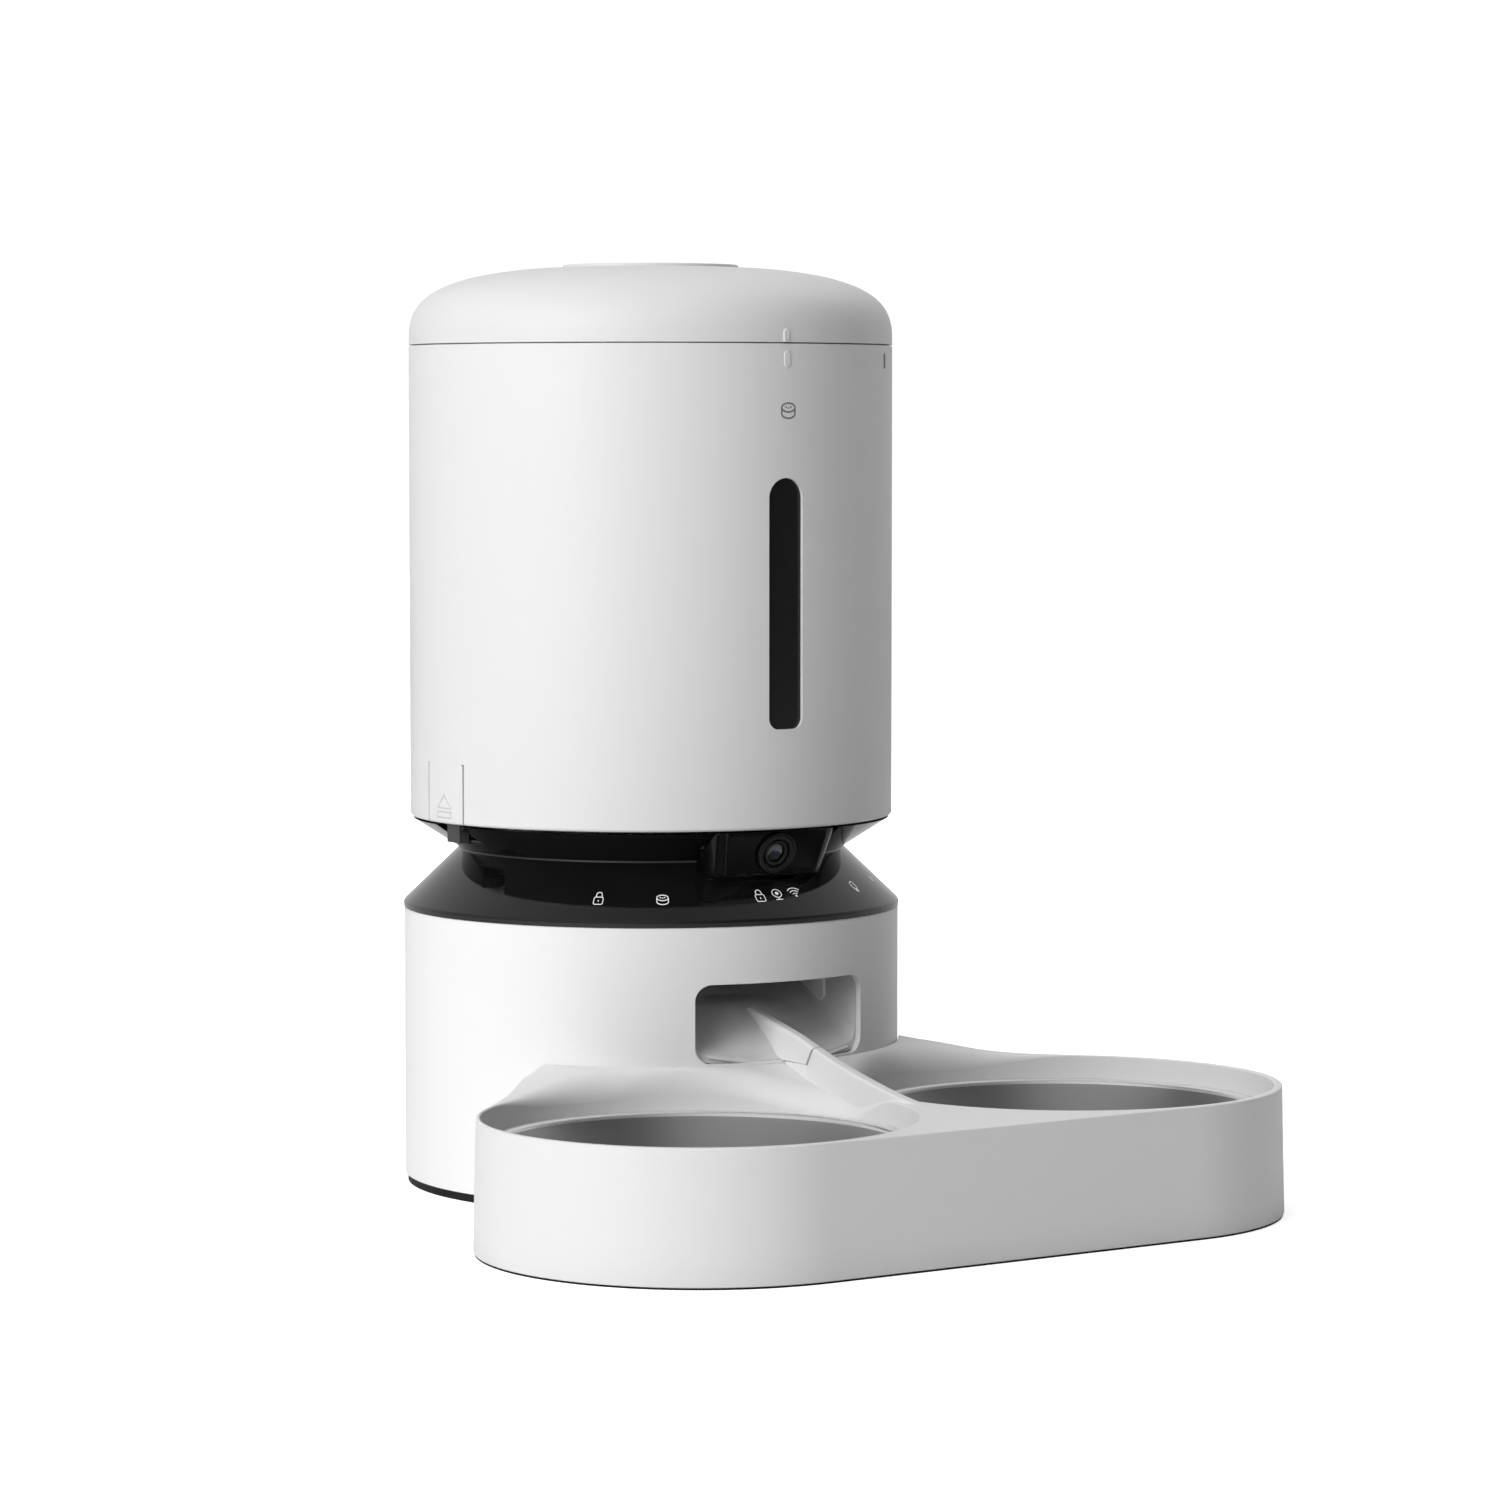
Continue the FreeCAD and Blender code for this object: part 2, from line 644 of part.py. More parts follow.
def make_drive():
    """Motor, two-stage gear train and the upright output shaft."""
    span = sheet.gear_distance
    idler = (0.0, span)
    motor = (span, span)
    half_tooth = 360 / BIG_TEETH / 2

    # The output gear turns about the body's axis; the idler's small gear drives it.
    wheel = gear_solid(BIG_TEETH, 0, 0, 78.0, 84.0, 90.0 + half_tooth)
    feature("drive_gear", bore(wheel, SHAFT_RADIUS, 0, 0))
    small = gear_solid(SMALL_TEETH, *idler, 77.4, 85.0, 270.0)
    large = gear_solid(BIG_TEETH, *idler, 69.0, 75.0, half_tooth)
    collar = Part.makeCylinder(2.8, 4.0, Vector(*idler, 74.0))
    feature("idler_gear", bore(small.fuse([large, collar]).removeSplitter(),
                               1.5 + FIT, *idler))
    pinion = gear_solid(SMALL_TEETH, *motor, 68.0, 76.0, 180.0)
    feature("motor_pinion", bore(pinion, 1.0, *motor))

    disc("motor_shaft", 1.0, 58.0, 77.0, *motor)
    disc("idler_pin", 1.5, 66.0, 88.0, *idler)

    shaft = cylinder("shaft_stem", SHAFT_RADIUS, 77.0, 94.0)
    journal = cylinder("shaft_journal", JOURNAL_RADIUS, 64.4, 77.0)
    hexagon = primitive("Prism", "shaft_hexagon", (0.0, 0.0, 94.0),
                        Circumradius=5.2, Height=11.0)
    hexagon.Polygon = 6
    node(fuse("output_shaft", [shaft, journal, hexagon]), "output_shaft")

    can = cylinder("motor_can", 12.0, 43.0, 63.6, *motor)
    nose = cylinder("motor_nose", 3.5, 63.6, 65.6, *motor)
    hole = cylinder("motor_hole", 1.0 + FIT, 56.0, 70.0, *motor)
    node(cut("motor", fuse("motor_body", [can, nose]), hole), "motor")

    x_low, x_high, y_low, y_high = CASE
    outer = block("case_outer", x_low, x_high, y_low, y_high, CASE_LOW, 88.0)
    inner = block("case_inner", x_low + 1.4, x_high - 1.4, y_low + 1.4, y_high - 1.4, 66.0, 88.0)
    holes = [cylinder("case_nose_hole", 3.6, 60.0, 70.0, *motor),
             cylinder("case_journal_hole", JOURNAL_RADIUS + FIT, 60.0, 70.0)]
    node(cut("gearbox_case", outer, fuse("case_tools", [inner] + holes)), "gearbox_case")

    plate = block("lid_plate", x_low, x_high, y_low, y_high, 88.0, CASE_HIGH)
    node(cut("gearbox_lid", plate, cylinder("lid_hole", 6.5, 80.0, 95.0)), "gearbox_lid")
    turned("output_bush", rectangle(SHAFT_RADIUS + FIT, 6.5, 87.0, 91.0))


# ---------------------------------------------------------------- tank
tank_radius = dim("tank_radius")
tank_inner = tank_radius - dim("tank_wall")
tank_low = dim("tank_low")
tank_high = dim("tank_high")
cup_radius = dim("cup_radius")
cup_low = dim("cup_low")
TAB_ANGLES = (82.0, 97.6)
SLOT_HALF = 0.28
TAB_TOP = 145.9
WINDOW_HALF = 6.7
WINDOW_LOW = 159.05
WINDOW_HIGH = 242.07
WINDOW_RECESS = 1.3


def sector(name, first, last, low, high):
    """Wedge of the tank's wall between two angles from the front."""
    obj = doc.addObject("Part::Cylinder", name)
    obj.Radius = 90.0
    obj.Angle = last - first
    bind(obj, "Height", as_size(high) - low)
    bind(obj, "Placement.Base.z", low)
    obj.Placement.Rotation = FreeCAD.Rotation(Vector(0, 0, 1), first - 90.0)
    return obj


def window_prism(name, grow):
    """Upright slot with a round top, through the front wall."""
    body = new_body(name)
    extrude(body, "XZ_Plane", 70.0, 20.0, rectangle(
        -WINDOW_HALF - grow, WINDOW_HALF + grow, WINDOW_LOW - grow, WINDOW_HIGH + grow))
    edge_x = WINDOW_HALF + grow
    tops = [(x, WINDOW_HIGH + grow) for x in (-edge_x, edge_x)]
    feet = [(x, WINDOW_LOW - grow) for x in (-edge_x, edge_x)]
    round_edges(body, edge_x - 0.02, straight_edge("y", *tops))
    round_edges(body, 3.7, straight_edge("y", *feet))
    return body


def make_tank_shell():
    """White tank wall with the level window and the two release tabs cut free."""
    wall = new_body("tank_tube")
    turn(wall, rectangle(tank_inner, tank_radius, tank_low, tank_high))
    round_edges(wall, 1.1, ring_edge(82.74, 125.94))
    round_edges(wall, 0.35, ring_edge(82.74, 286.25))

    wedges = []
    for side, name in ((-1, "left"), (1, "right")):
        first, last = sorted(side * angle for angle in TAB_ANGLES)
        wedges.append(sector(f"tab_space_{name}", first - SLOT_HALF, last + SLOT_HALF,
                             tank_low - 10, TAB_TOP + 0.3))
        tab_wedge = sector(f"tab_wedge_{name}", first + SLOT_HALF, last - SLOT_HALF,
                           tank_low - 10, TAB_TOP)
        strip = common(f"tab_strip_{name}", [wall, tab_wedge])
        near, far = sorted((side * 75.3, side * 79.0))
        hook = block(f"tab_hook_{name}", near, far, -4.0, 4.0, 119.4, tank_low + 4)
        heel_near, heel_far = sorted((side * 78.9, side * 81.2))
        heel = block(f"tab_heel_{name}", heel_near, heel_far, -4.0, 4.0, tank_low + 0.6,
                     tank_low + 4)
        node(fuse(f"release_tab_{name}", [strip, hook, heel]), f"release_tab_{name}")

    spaces = wedges + [window_prism("window_space", 0.0)]
    node(cut("tank_shell", wall, fuse("tank_spaces", spaces)), "tank_shell")

    pane = new_body("window_tube")
    turn(pane, rectangle(tank_inner, tank_radius - WINDOW_RECESS, tank_low, tank_high))
    node(common("level_window", [pane, window_prism("window_pane", 0.0)]), "level_window")


def make_tank_funnel():
    """Funnel and rotor cup; the drop hole opens over the chute."""
    body = new_body("tank_funnel")
    inner, floor = cup_radius, cup_low + 2.0
    outer = cup_radius + 2.2
    turn(body, [
        (8.0, cup_low), (outer, cup_low), (outer, 117.3), (64.0, 117.3), (64.0, 119.3),
        (outer, 119.3), (outer, 127.0), (tank_inner, 166.0), (tank_inner, 169.0),
        (inner, 129.0), (inner, floor), (8.0, floor)])
    extrude(body, "XY_Plane", 90.0, 12.0, rectangle(-24.0, 24.0, -42.0, -23.0), "Pocket", True)
    node(body, "tank_funnel")

    wedge = doc.addObject("Part::Cylinder", "shield_wedge")
    bind(wedge, "Radius", cup_radius)
    wedge.Height = 2.0
    wedge.Angle = 84.0
    wedge.Placement = FreeCAD.Placement(
        Vector(0, 0, 122.8), FreeCAD.Rotation(Vector(0, 0, 1), -90.0 - 42.0))
    node(cut("drop_shield", wedge, cylinder("shield_hole", 11.0, 120.0, 130.0)), "drop_shield")


VANES = 6
VANE_HALF = 1.1
VANE_REACH = 49.4


def make_rotor():
    """Soft-vaned rotor on a hub that takes the output shaft's hexagon, and its stirrer."""
    hub = cylinder("hub_body", 9.0, 99.5, 122.0)
    spigot = cylinder("hub_spigot", 7.92, 97.0, 99.5)
    socket = primitive("Prism", "hub_socket", (0.0, 0.0, 90.0), Circumradius=5.6, Height=16.0)
    socket.Polygon = 6
    node(cut("rotor_hub", fuse("hub_solid", [hub, spigot]), socket), "rotor_hub")

    sleeve = cylinder("vane_sleeve", 11.0, 100.0, 121.6)
    blades = [sleeve]
    for number in range(VANES):
        blade = block(f"vane_{number}", 9.5, VANE_REACH, -VANE_HALF, VANE_HALF, 100.0, 121.6)
        blade.Placement = FreeCAD.Placement(
            Vector(0, 0, 0), FreeCAD.Rotation(Vector(0, 0, 1), number * 360 / VANES + 30)
        ).multiply(FreeCAD.Placement(Vector(9.5, -VANE_HALF, 100.0), FreeCAD.Rotation()))
        blades.append(blade)
    star = fuse("vane_star", blades)
    node(cut("rotor_vanes", star, cylinder("vane_bore", 9.0, 90.0, 130.0)), "rotor_vanes")

    post = cylinder("stirrer_post", 5.5, 122.0, 143.0)
    low_arm = block("stirrer_low_arm", -36.0, 36.0, -2.0, 2.0, 127.5, 132.0)
    high_arm = block("stirrer_high_arm", -2.0, 2.0, -30.0, 30.0, 136.0, 140.5)
    node(fuse("agitator", [post, low_arm, high_arm]), "agitator")


# ---------------------------------------------------------------- lid
LID_POWER = 3.1
DOME_STEPS = 10


def dome_curve(radius, rise, low):
    """Upper right quarter of a rounded-square curve, from the rim to the axis."""
    points = []
    for step in range(DOME_STEPS + 1):
        angle = math.pi / 2 * step / DOME_STEPS
        across = radius * math.cos(angle) ** (2 / LID_POWER)
        up = low + rise * math.sin(angle) ** (2 / LID_POWER)
        points.append(Vector(across, 0, up))
    points[-1] = Vector(0, 0, low + rise)
    curve = Part.BSplineCurve()
    curve.interpolate(Points=points, InitialTangent=Vector(0, 0, 1), FinalTangent=Vector(-1, 0, 0))
    return curve.toShape()


def dome_solid(radius, rise, low):
    top = Vector(0, 0, low + rise)
    axis = Part.makeLine(top, Vector(0, 0, low))
    foot = Part.makeLine(Vector(0, 0, low), Vector(radius, 0, low))
    wire = Part.Wire([foot, dome_curve(radius, rise, low), axis])
    return Part.Face(wire).revolve(Vector(0, 0, 0), Vector(0, 0, 1), 360)


LINER_LOW = 286.9
SPIGOT_LOW = 276.0
POCKET_RADIUS = 30.0
POCKET_ROOF = 303.0


def make_lid():
    """Domed lid with a round inlay, a liner with a spigot, a seal and a desiccant pocket."""
    low = sheet.tank_high + sheet.seam_gap
    rise = sheet.lid_rise
    outer = dome_solid(sheet.tank_radius, rise, low)
    inner = dome_solid(sheet.tank_radius - 2.2, rise - 2.2, low)
    recess = Part.makeCylinder(sheet.inlay_radius, 10.0, Vector(0, 0, low + rise - 1.3))
    feature("lid_dome", outer.cut(inner).cut(recess))

    inlay = new_body("lid_inlay")
    sketch = new_sketch(inlay, "XY_Plane", tank_high + 0.4 + dim("lid_rise") - 1.3)
    draw_circle(sketch, 0.0, 0.0, dim("inlay_radius"))
    extrude_sketch(inlay, sketch, 1.85)
    round_edges(inlay, 0.5, ring_edge(30.0, 313.9))
    node(inlay, "lid_inlay")

    turned("lid_liner", [
        (0.0, POCKET_ROOF), (POCKET_RADIUS, POCKET_ROOF), (POCKET_RADIUS, LINER_LOW),
        (77.6, LINER_LOW), (77.6, SPIGOT_LOW), (79.4, SPIGOT_LOW), (79.4, 279.0),
        (78.5, 279.0), (78.5, 282.2), (79.4, 282.2), (79.4, LINER_LOW), (80.3, LINER_LOW),
        (80.3, 288.7), (31.8, 288.7), (31.8, POCKET_ROOF + 1.8), (0.0, POCKET_ROOF + 1.8)])
    turned("lid_seal", rectangle(78.8, 80.2, 279.3, 281.9))

    turned("desiccant_pack", [
        (0.0, 290.0), (20.0, 290.4), (27.0, 294.0), (27.0, 297.0), (20.0, 300.6), (0.0, 301.0)])

    cover = new_body("cover_plate")
    sketch = new_sketch(cover, "XY_Plane", 284.6)
    draw_circle(sketch, 0.0, 0.0, 29.5)
    extrude_sketch(cover, sketch, 1.9)
    for offset in range(-18, 19, 6):
        extrude(cover, "XY_Plane", 280.0, 10.0,
                rectangle(-14.0, 14.0, offset - 1.2, offset + 1.2), "Pocket", True)
    knuckle = primitive("Cylinder", "cover_knuckle", (-8.0, 30.4, 285.5), Radius=0.9, Height=16)
    knuckle.Placement.Rotation = FreeCAD.Rotation(Vector(0, 1, 0), 90)
    arm = block("cover_arm", -8.0, 8.0, 27.0, 30.4, 284.6, 286.4)
    node(fuse("desiccant_cover", [cover, knuckle, arm]), "desiccant_cover")


# ---------------------------------------------------------------- tray and bowls
tray_low = dim("tray_low")
tray_lip = dim("tray_lip")
lobe_x = dim("tray_lobe_x")
lobe_y = dim("tray_lobe_y")
bowl_x = dim("bowl_x")
bowl_y = dim("bowl_y")
DRAFT = 1.3
TRAY_BACK = -29.5
TRAY_SKIN = 2.4


def draw_tray_outline(sketch, inset):
    """Two round lobes, a straight front, and 45 degree flanks that run in to the base."""
    radius = dim("tray_lobe_radius") - inset
    r, x, y = radius.value, lobe_x.value, -lobe_y.value
    diagonal = r / math.sqrt(2)
    run = (TRAY_BACK + inset) - (y + diagonal)
    shoulder_left = Vector(-x - diagonal, y + diagonal, 0)
    shoulder_right = Vector(x + diagonal, y + diagonal, 0)
    back_left = shoulder_left + Vector(run, run, 0)
    back_right = shoulder_right + Vector(-run, run, 0)
    up = Vector(0, 0, 1)
    front = sketch.addGeometry(Part.LineSegment(Vector(-x, y - r, 0), Vector(x, y - r, 0)), False)
    right = sketch.addGeometry(Part.ArcOfCircle(
        Part.Circle(Vector(x, y, 0), up, r), -math.pi / 2, math.pi / 4), False)
    flank_right = sketch.addGeometry(Part.LineSegment(shoulder_right, back_right), False)
    back = sketch.addGeometry(Part.LineSegment(back_right, back_left), False)
    flank_left = sketch.addGeometry(Part.LineSegment(back_left, shoulder_left), False)
    left = sketch.addGeometry(Part.ArcOfCircle(
        Part.Circle(Vector(-x, y, 0), up, r), 3 * math.pi / 4, 3 * math.pi / 2), False)
    joins = [(front, 2, right, 1), (right, 2, flank_right, 1), (flank_left, 2, left, 1),
             (left, 2, front, 1)]
    for join in joins:
        sketch.addConstraint(Sketcher.Constraint("Tangent", *join))
    sketch.addConstraint(Sketcher.Constraint("Coincident", flank_right, 2, back, 1))
    sketch.addConstraint(Sketcher.Constraint("Coincident", back, 2, flank_left, 1))
    pin_point(sketch, right, 3, (lobe_x, -lobe_y))
    pin_point(sketch, left, 3, (-lobe_x, -lobe_y))
    index = sketch.addConstraint(Sketcher.Constraint("Radius", right, r))
    sketch.setExpression(f"Constraints[{index}]", radius.text)
    sketch.addConstraint(Sketcher.Constraint("Horizontal", back))
    sketch.addConstraint(Sketcher.Constraint(
        "DistanceY", -1, 1, back, 1, TRAY_BACK + inset))
    return sketch


def make_tray():
    """One moulding: lobes with bowl wells, a shoulder up to the base, and the ridge."""
    body = new_body("tray_block")
    sketch = draw_tray_outline(new_sketch(body, "XY_Plane", tray_low), 0.0)
    pad = extrude_sketch(body, sketch, 55.0)
    pad.TaperAngle = -DRAFT
    doc.recompute()

    # The top falls from the base in a straight slope, eases out, and runs level to the lip.
    level = new_sketch(body, "XZ_Plane")
    draw_polygon(level, [
        (70.0, 51.75), (85.0, dim("shoulder_high")), (110.0, 44.4), (118.0, 43.3),
        (128.0, tray_lip), (260.0, tray_lip), (260.0, 70.0), (70.0, 70.0)])
    groove = body.newObject("PartDesign::Groove", "tray_top")
    groove.Profile = level
    groove.ReferenceAxis = (level, ["V_Axis"])
    groove.Angle = 360
    doc.recompute()

    clearance = new_sketch(body, "XY_Plane", 0.0)
    draw_circle(clearance, 0.0, 0.0, base_radius + dim("tray_clearance"))
    extrude_sketch(body, clearance, 80.0, "Pocket", True)

    wells = new_sketch(body, "XY_Plane", dim("ledge_high"))
    for side in (-1, 1):
        draw_circle(wells, bowl_x * side, -bowl_y, dim("well_radius"))
    extrude_sketch(body, wells, 40.0, "Pocket", True)
    return body


def make_tray_parts():
    block_body = make_tray()
    ridge = new_body("tray_ridge")
    foot_y, foot_z = SEAM_FOOT
    top_y, top_z = SEAM_TOP
    extrude(ridge, "YZ_Plane", 0.0, dim("ridge_half") * 2, [
        (foot_y - 0.45, 40.0), (foot_y - 0.45, foot_z - 0.45), (top_y - 0.45, top_z - 0.15),
        (-107.0, 53.4), (-120.0, 49.9), (-137.0, 46.4), (-150.0, 44.0), (-166.0, 42.6),
        (-166.0, 40.0)], midplane=True)

    hollow = new_body("tray_hollow")
    extrude_sketch(hollow, draw_tray_outline(
        new_sketch(hollow, "XY_Plane", -5.0), TRAY_SKIN), 35.2)
    back_wall = cylinder("tray_back_wall", base_radius + dim("tray_clearance") + TRAY_SKIN,
                         -10.0, 60.0)
    hollow_cut = cut("tray_hollow_cut", hollow, back_wall)
    throats = [cylinder(f"tray_throat_{side + 1}", 65.2, -5.0, 60.0, bowl_x * side, -bowl_y)
               for side in (-1, 1)]
    solid = fuse("tray_solid", [block_body, ridge])
    node(cut("tray", solid, fuse("tray_tools", [hollow_cut] + throats)), "tray")

    strip = new_body("foot_strip_outer")
    extrude_sketch(strip, draw_tray_outline(new_sketch(strip, "XY_Plane"), 0.4), tray_low)
    middle = new_body("foot_strip_inner")
    extrude_sketch(middle, draw_tray_outline(new_sketch(middle, "XY_Plane", -1.0), 2.2), 4.0)
    gap = cylinder("foot_strip_gap", base_radius + dim("tray_clearance") + 1.0, -1.0, 3.0)
    node(cut("tray_feet", strip, fuse("foot_strip_tools", [middle, gap])), "tray_feet")


def make_bowl(side, label):
    """Pressed steel bowl with a rolled rim."""
    body = new_body(f"{label}_pressing")
    high = dim("bowl_high")
    turn(body, [
        (0.0, 7.0), (48.0, 7.0), (56.0, 9.5), (60.6, 14.0), (64.6, 32.2), (66.2, 33.4),
        (67.3, 32.9), (dim("bowl_radius"), 33.9), (dim("bowl_radius") - 0.35, high - 0.35),
        (67.05, high), (65.3, high - 0.3), (64.3, 33.4), (59.9, 14.5), (55.4, 10.3),
        (47.8, 7.8), (0.0, 7.8)])
    mover = doc.addObject("Part::Compound", label)
    mover.Links = [body]
    doc.recompute()
    mover.Label = label
    bind(mover, "Placement.Base.x", bowl_x * side)
    bind(mover, "Placement.Base.y", dim("axis_shift") - bowl_y)
    NODES.append(mover)


def check(obj):
    """Stop on a failed feature, or a sub-part with no sound shape."""
    for item in doc.Objects:
        if "Invalid" in item.State or "Error" in item.State:
            raise RuntimeError(f"{item.Name} ({item.Label}) failed: {item.State}")
    if obj.Shape.isNull() or not obj.Shape.isValid() or obj.Shape.Volume <= 0:
        raise RuntimeError(f"{obj.Label} has no sound shape")


make_base_shell()
make_floor()
make_battery_bay()
make_power_and_sound()
make_chute()
make_splitter_tip()
make_neck()
make_camera()
make_drive()
make_tank_shell()
make_tank_funnel()
make_rotor()
make_lid()
make_tray_parts()
make_bowl(-1, "bowl_left")
make_bowl(1, "bowl_right")
doc.recompute()

for item in NODES:
    check(item)
os.makedirs("parts", exist_ok=True)
for item in NODES:
    item.Shape.exportStep(f"parts/{item.Label}.step")
print(len(NODES), "sub-parts written")
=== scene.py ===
import math
from math import pi

import bmesh
import bpy
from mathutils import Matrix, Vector
from mathutils.geometry import delaunay_2d_cdt


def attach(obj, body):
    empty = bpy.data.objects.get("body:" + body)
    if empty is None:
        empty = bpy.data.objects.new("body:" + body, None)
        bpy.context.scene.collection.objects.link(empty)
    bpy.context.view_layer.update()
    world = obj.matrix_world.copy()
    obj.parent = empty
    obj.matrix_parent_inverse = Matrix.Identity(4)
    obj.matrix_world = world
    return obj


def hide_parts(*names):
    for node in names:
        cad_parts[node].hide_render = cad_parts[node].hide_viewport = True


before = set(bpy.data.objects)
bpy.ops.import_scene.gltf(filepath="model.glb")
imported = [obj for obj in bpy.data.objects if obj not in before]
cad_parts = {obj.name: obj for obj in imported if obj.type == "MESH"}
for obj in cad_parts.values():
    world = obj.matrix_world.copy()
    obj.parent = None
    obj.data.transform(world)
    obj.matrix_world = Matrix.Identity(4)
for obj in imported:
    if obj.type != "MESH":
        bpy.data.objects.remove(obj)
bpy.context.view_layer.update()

MM = 0.001
AXIS_Y = 64.0        # the round body's axis in the object's frame, mm


# ------------------------------------------------------------------ node helpers
def set_inputs(tree, node, inputs):
    """Gives each input a value, or links it to another node's output."""
    for key, value in inputs.items():
        if isinstance(value, bpy.types.NodeSocket):
            tree.links.new(value, node.inputs[key])
        else:
            node.inputs[key].default_value = value


def add_node(tree, kind, inputs, **options):
    """A new shader node with its options and inputs set."""
    node = tree.nodes.new("ShaderNode" + kind)
    for key, value in options.items():
        setattr(node, key, value)
    set_inputs(tree, node, inputs)
    return node


def new_material(name):
    """A node material with nothing but one principled shader and its output."""
    mat = bpy.data.materials.new(name)
    mat.use_nodes = True
    tree = mat.node_tree
    tree.nodes.clear()
    shader = add_node(tree, "BsdfPrincipled", {})
    add_node(tree, "OutputMaterial", {0: shader.outputs[0]})
    return mat, tree, shader


def coordinates(tree):
    return tree.nodes.new("ShaderNodeTexCoord").outputs["Object"]


def stretched(tree, vector, scale):
    return add_node(tree, "Mapping", {"Vector": vector, "Scale": scale}).outputs[0]


def noise(tree, vector, scale, detail=3.0, rough=0.5):
    return add_node(tree, "TexNoise", {"Vector": vector, "Scale": scale, "Detail": detail,
                                       "Roughness": rough}).outputs["Fac"]


def remap(tree, value, low, high, start=0.3, end=0.7, **options):
    """Turns the range from start to end into the range from low to high."""
    node = add_node(tree, "MapRange", {"Value": value, "From Min": start, "From Max": end,
                                       "To Min": low, "To Max": high}, **options)
    return node.outputs["Result"]


def blend_colors(tree, factor, first, second):
    node = add_node(tree, "Mix", {"Factor": factor, "A": (*first, 1.0), "B": (*second, 1.0)},
                    data_type="RGBA")
    return node.outputs["Result"]


def blend_shaders(tree, factor, first, second):
    return add_node(tree, "MixShader", {0: factor, 1: first, 2: second}).outputs[0]


def bump(tree, shader, height, strength, distance):
    node = add_node(tree, "Bump", {"Height": height, "Strength": strength, "Distance": distance})
    set_inputs(tree, shader, {"Normal": node.outputs["Normal"]})


def math_node(tree, kind, first, second=None):
    inputs = {0: first} if second is None else {0: first, 1: second}
    return add_node(tree, "Math", inputs, operation=kind).outputs[0]


def shade(color, factor):
    return tuple(c * factor for c in color)


# ------------------------------------------------------------------ materials
def moulded(name, color, rough, grain=900.0, depth=0.00002, strength=0.25, specular=0.5,
            dust=0.02, glow=0.0):
    """Injection-moulded plastic: fine spark-eroded grain, uneven sheen, a little colour drift."""
    vary = 0.06
    mat, tree, shader = new_material(name)
    where = coordinates(tree)
    fine = noise(tree, where, grain, 2.0)
    broad = noise(tree, where, 14.0, 4.0)
    drift = blend_colors(tree, remap(tree, broad, 0.0, 1.0), color,
                         tuple(max(0.0, c - dust) for c in color))
    sheen = remap(tree, broad, rough - vary / 2, rough + vary / 2)
    speck = remap(tree, fine, -vary / 3, vary / 3)
    # a glow above zero is painted light: the plastic shines without a lamp
    set_inputs(tree, shader, {"Base Color": drift,
                              "Roughness": math_node(tree, "ADD", sheen, speck),
                              "Specular IOR Level": specular, "Emission Strength": glow})
    bump(tree, shader, fine, strength, depth)
    return mat


def glossy(name, color, rough, specular, coat=0.0):
    """Polished plastic: faint flow waves and hairline scuffs that only show in the gloss."""
    mat, tree, shader = new_material(name)
    where = coordinates(tree)
    hair = noise(tree, stretched(tree, where, (90.0, 90.0, 900.0)), 2.0, 6.0, 0.7)
    flow = noise(tree, where, 26.0, 2.0)
    drift = blend_colors(tree, remap(tree, flow, 0.0, 1.0), color, shade(color, 0.8))
    scuffs = remap(tree, hair, rough, rough * 2.2 + 0.02, 0.5, 0.85)
    set_inputs(tree, shader, {"Base Color": drift, "Roughness": scuffs,
                              "Specular IOR Level": specular})
    if coat:
        set_inputs(tree, shader, {"Coat Weight": coat, "Coat Roughness": 0.04})
    bump(tree, shader, flow, 0.05, 0.0002)
    return mat


def brushed_round(name, color, rough, center, lines, strength, metallic):
    """Steel brushed in circles about an upright axis through center (metres)."""
    mat, tree, shader = new_material(name)
    where = coordinates(tree)
    axes = add_node(tree, "SeparateXYZ", {0: where}).outputs
    x = math_node(tree, "SUBTRACT", axes[0], center[0])
    y = math_node(tree, "SUBTRACT", axes[1], center[1])
    radius = math_node(tree, "SQRT", math_node(tree, "ADD", math_node(tree, "MULTIPLY", x, x),
                                               math_node(tree, "MULTIPLY", y, y)))
    turn = math_node(tree, "ARCTAN2", y, x)
    round_axes = add_node(tree, "CombineXYZ", {0: math_node(tree, "MULTIPLY", radius, lines),
                                               1: math_node(tree, "MULTIPLY", axes[2], lines),
                                               2: math_node(tree, "MULTIPLY", turn, 1.5)})
    grain = noise(tree, round_axes.outputs[0], 1.0)
    patches = noise(tree, where, 18.0)
    tone = blend_colors(tree, remap(tree, grain, 0.0, 1.0, 0.25, 0.75), shade(color, 0.92), color)
    uneven = math_node(tree, "ADD", remap(tree, grain, rough - 0.02, rough + 0.03),
                       remap(tree, patches, -0.02, 0.02))
    set_inputs(tree, shader, {"Base Color": tone, "Metallic": metallic, "Roughness": uneven})
    bump(tree, shader, grain, strength, 0.000012)
    return mat


def metal(name, color, rough, scale=(60.0, 60.0, 1800.0)):
    """Turned, drawn or plated metal with grain along one direction."""
    mat, tree, shader = new_material(name)
    grain = noise(tree, stretched(tree, coordinates(tree), scale), 1.0, 5.0, 0.6)
    tone = blend_colors(tree, remap(tree, grain, 0.0, 1.0), shade(color, 0.85), color)
    set_inputs(tree, shader, {"Base Color": tone, "Metallic": 1.0,
                              "Roughness": remap(tree, grain, rough - 0.06, rough + 0.08)})
    bump(tree, shader, grain, 0.2, 0.00001)
    return mat


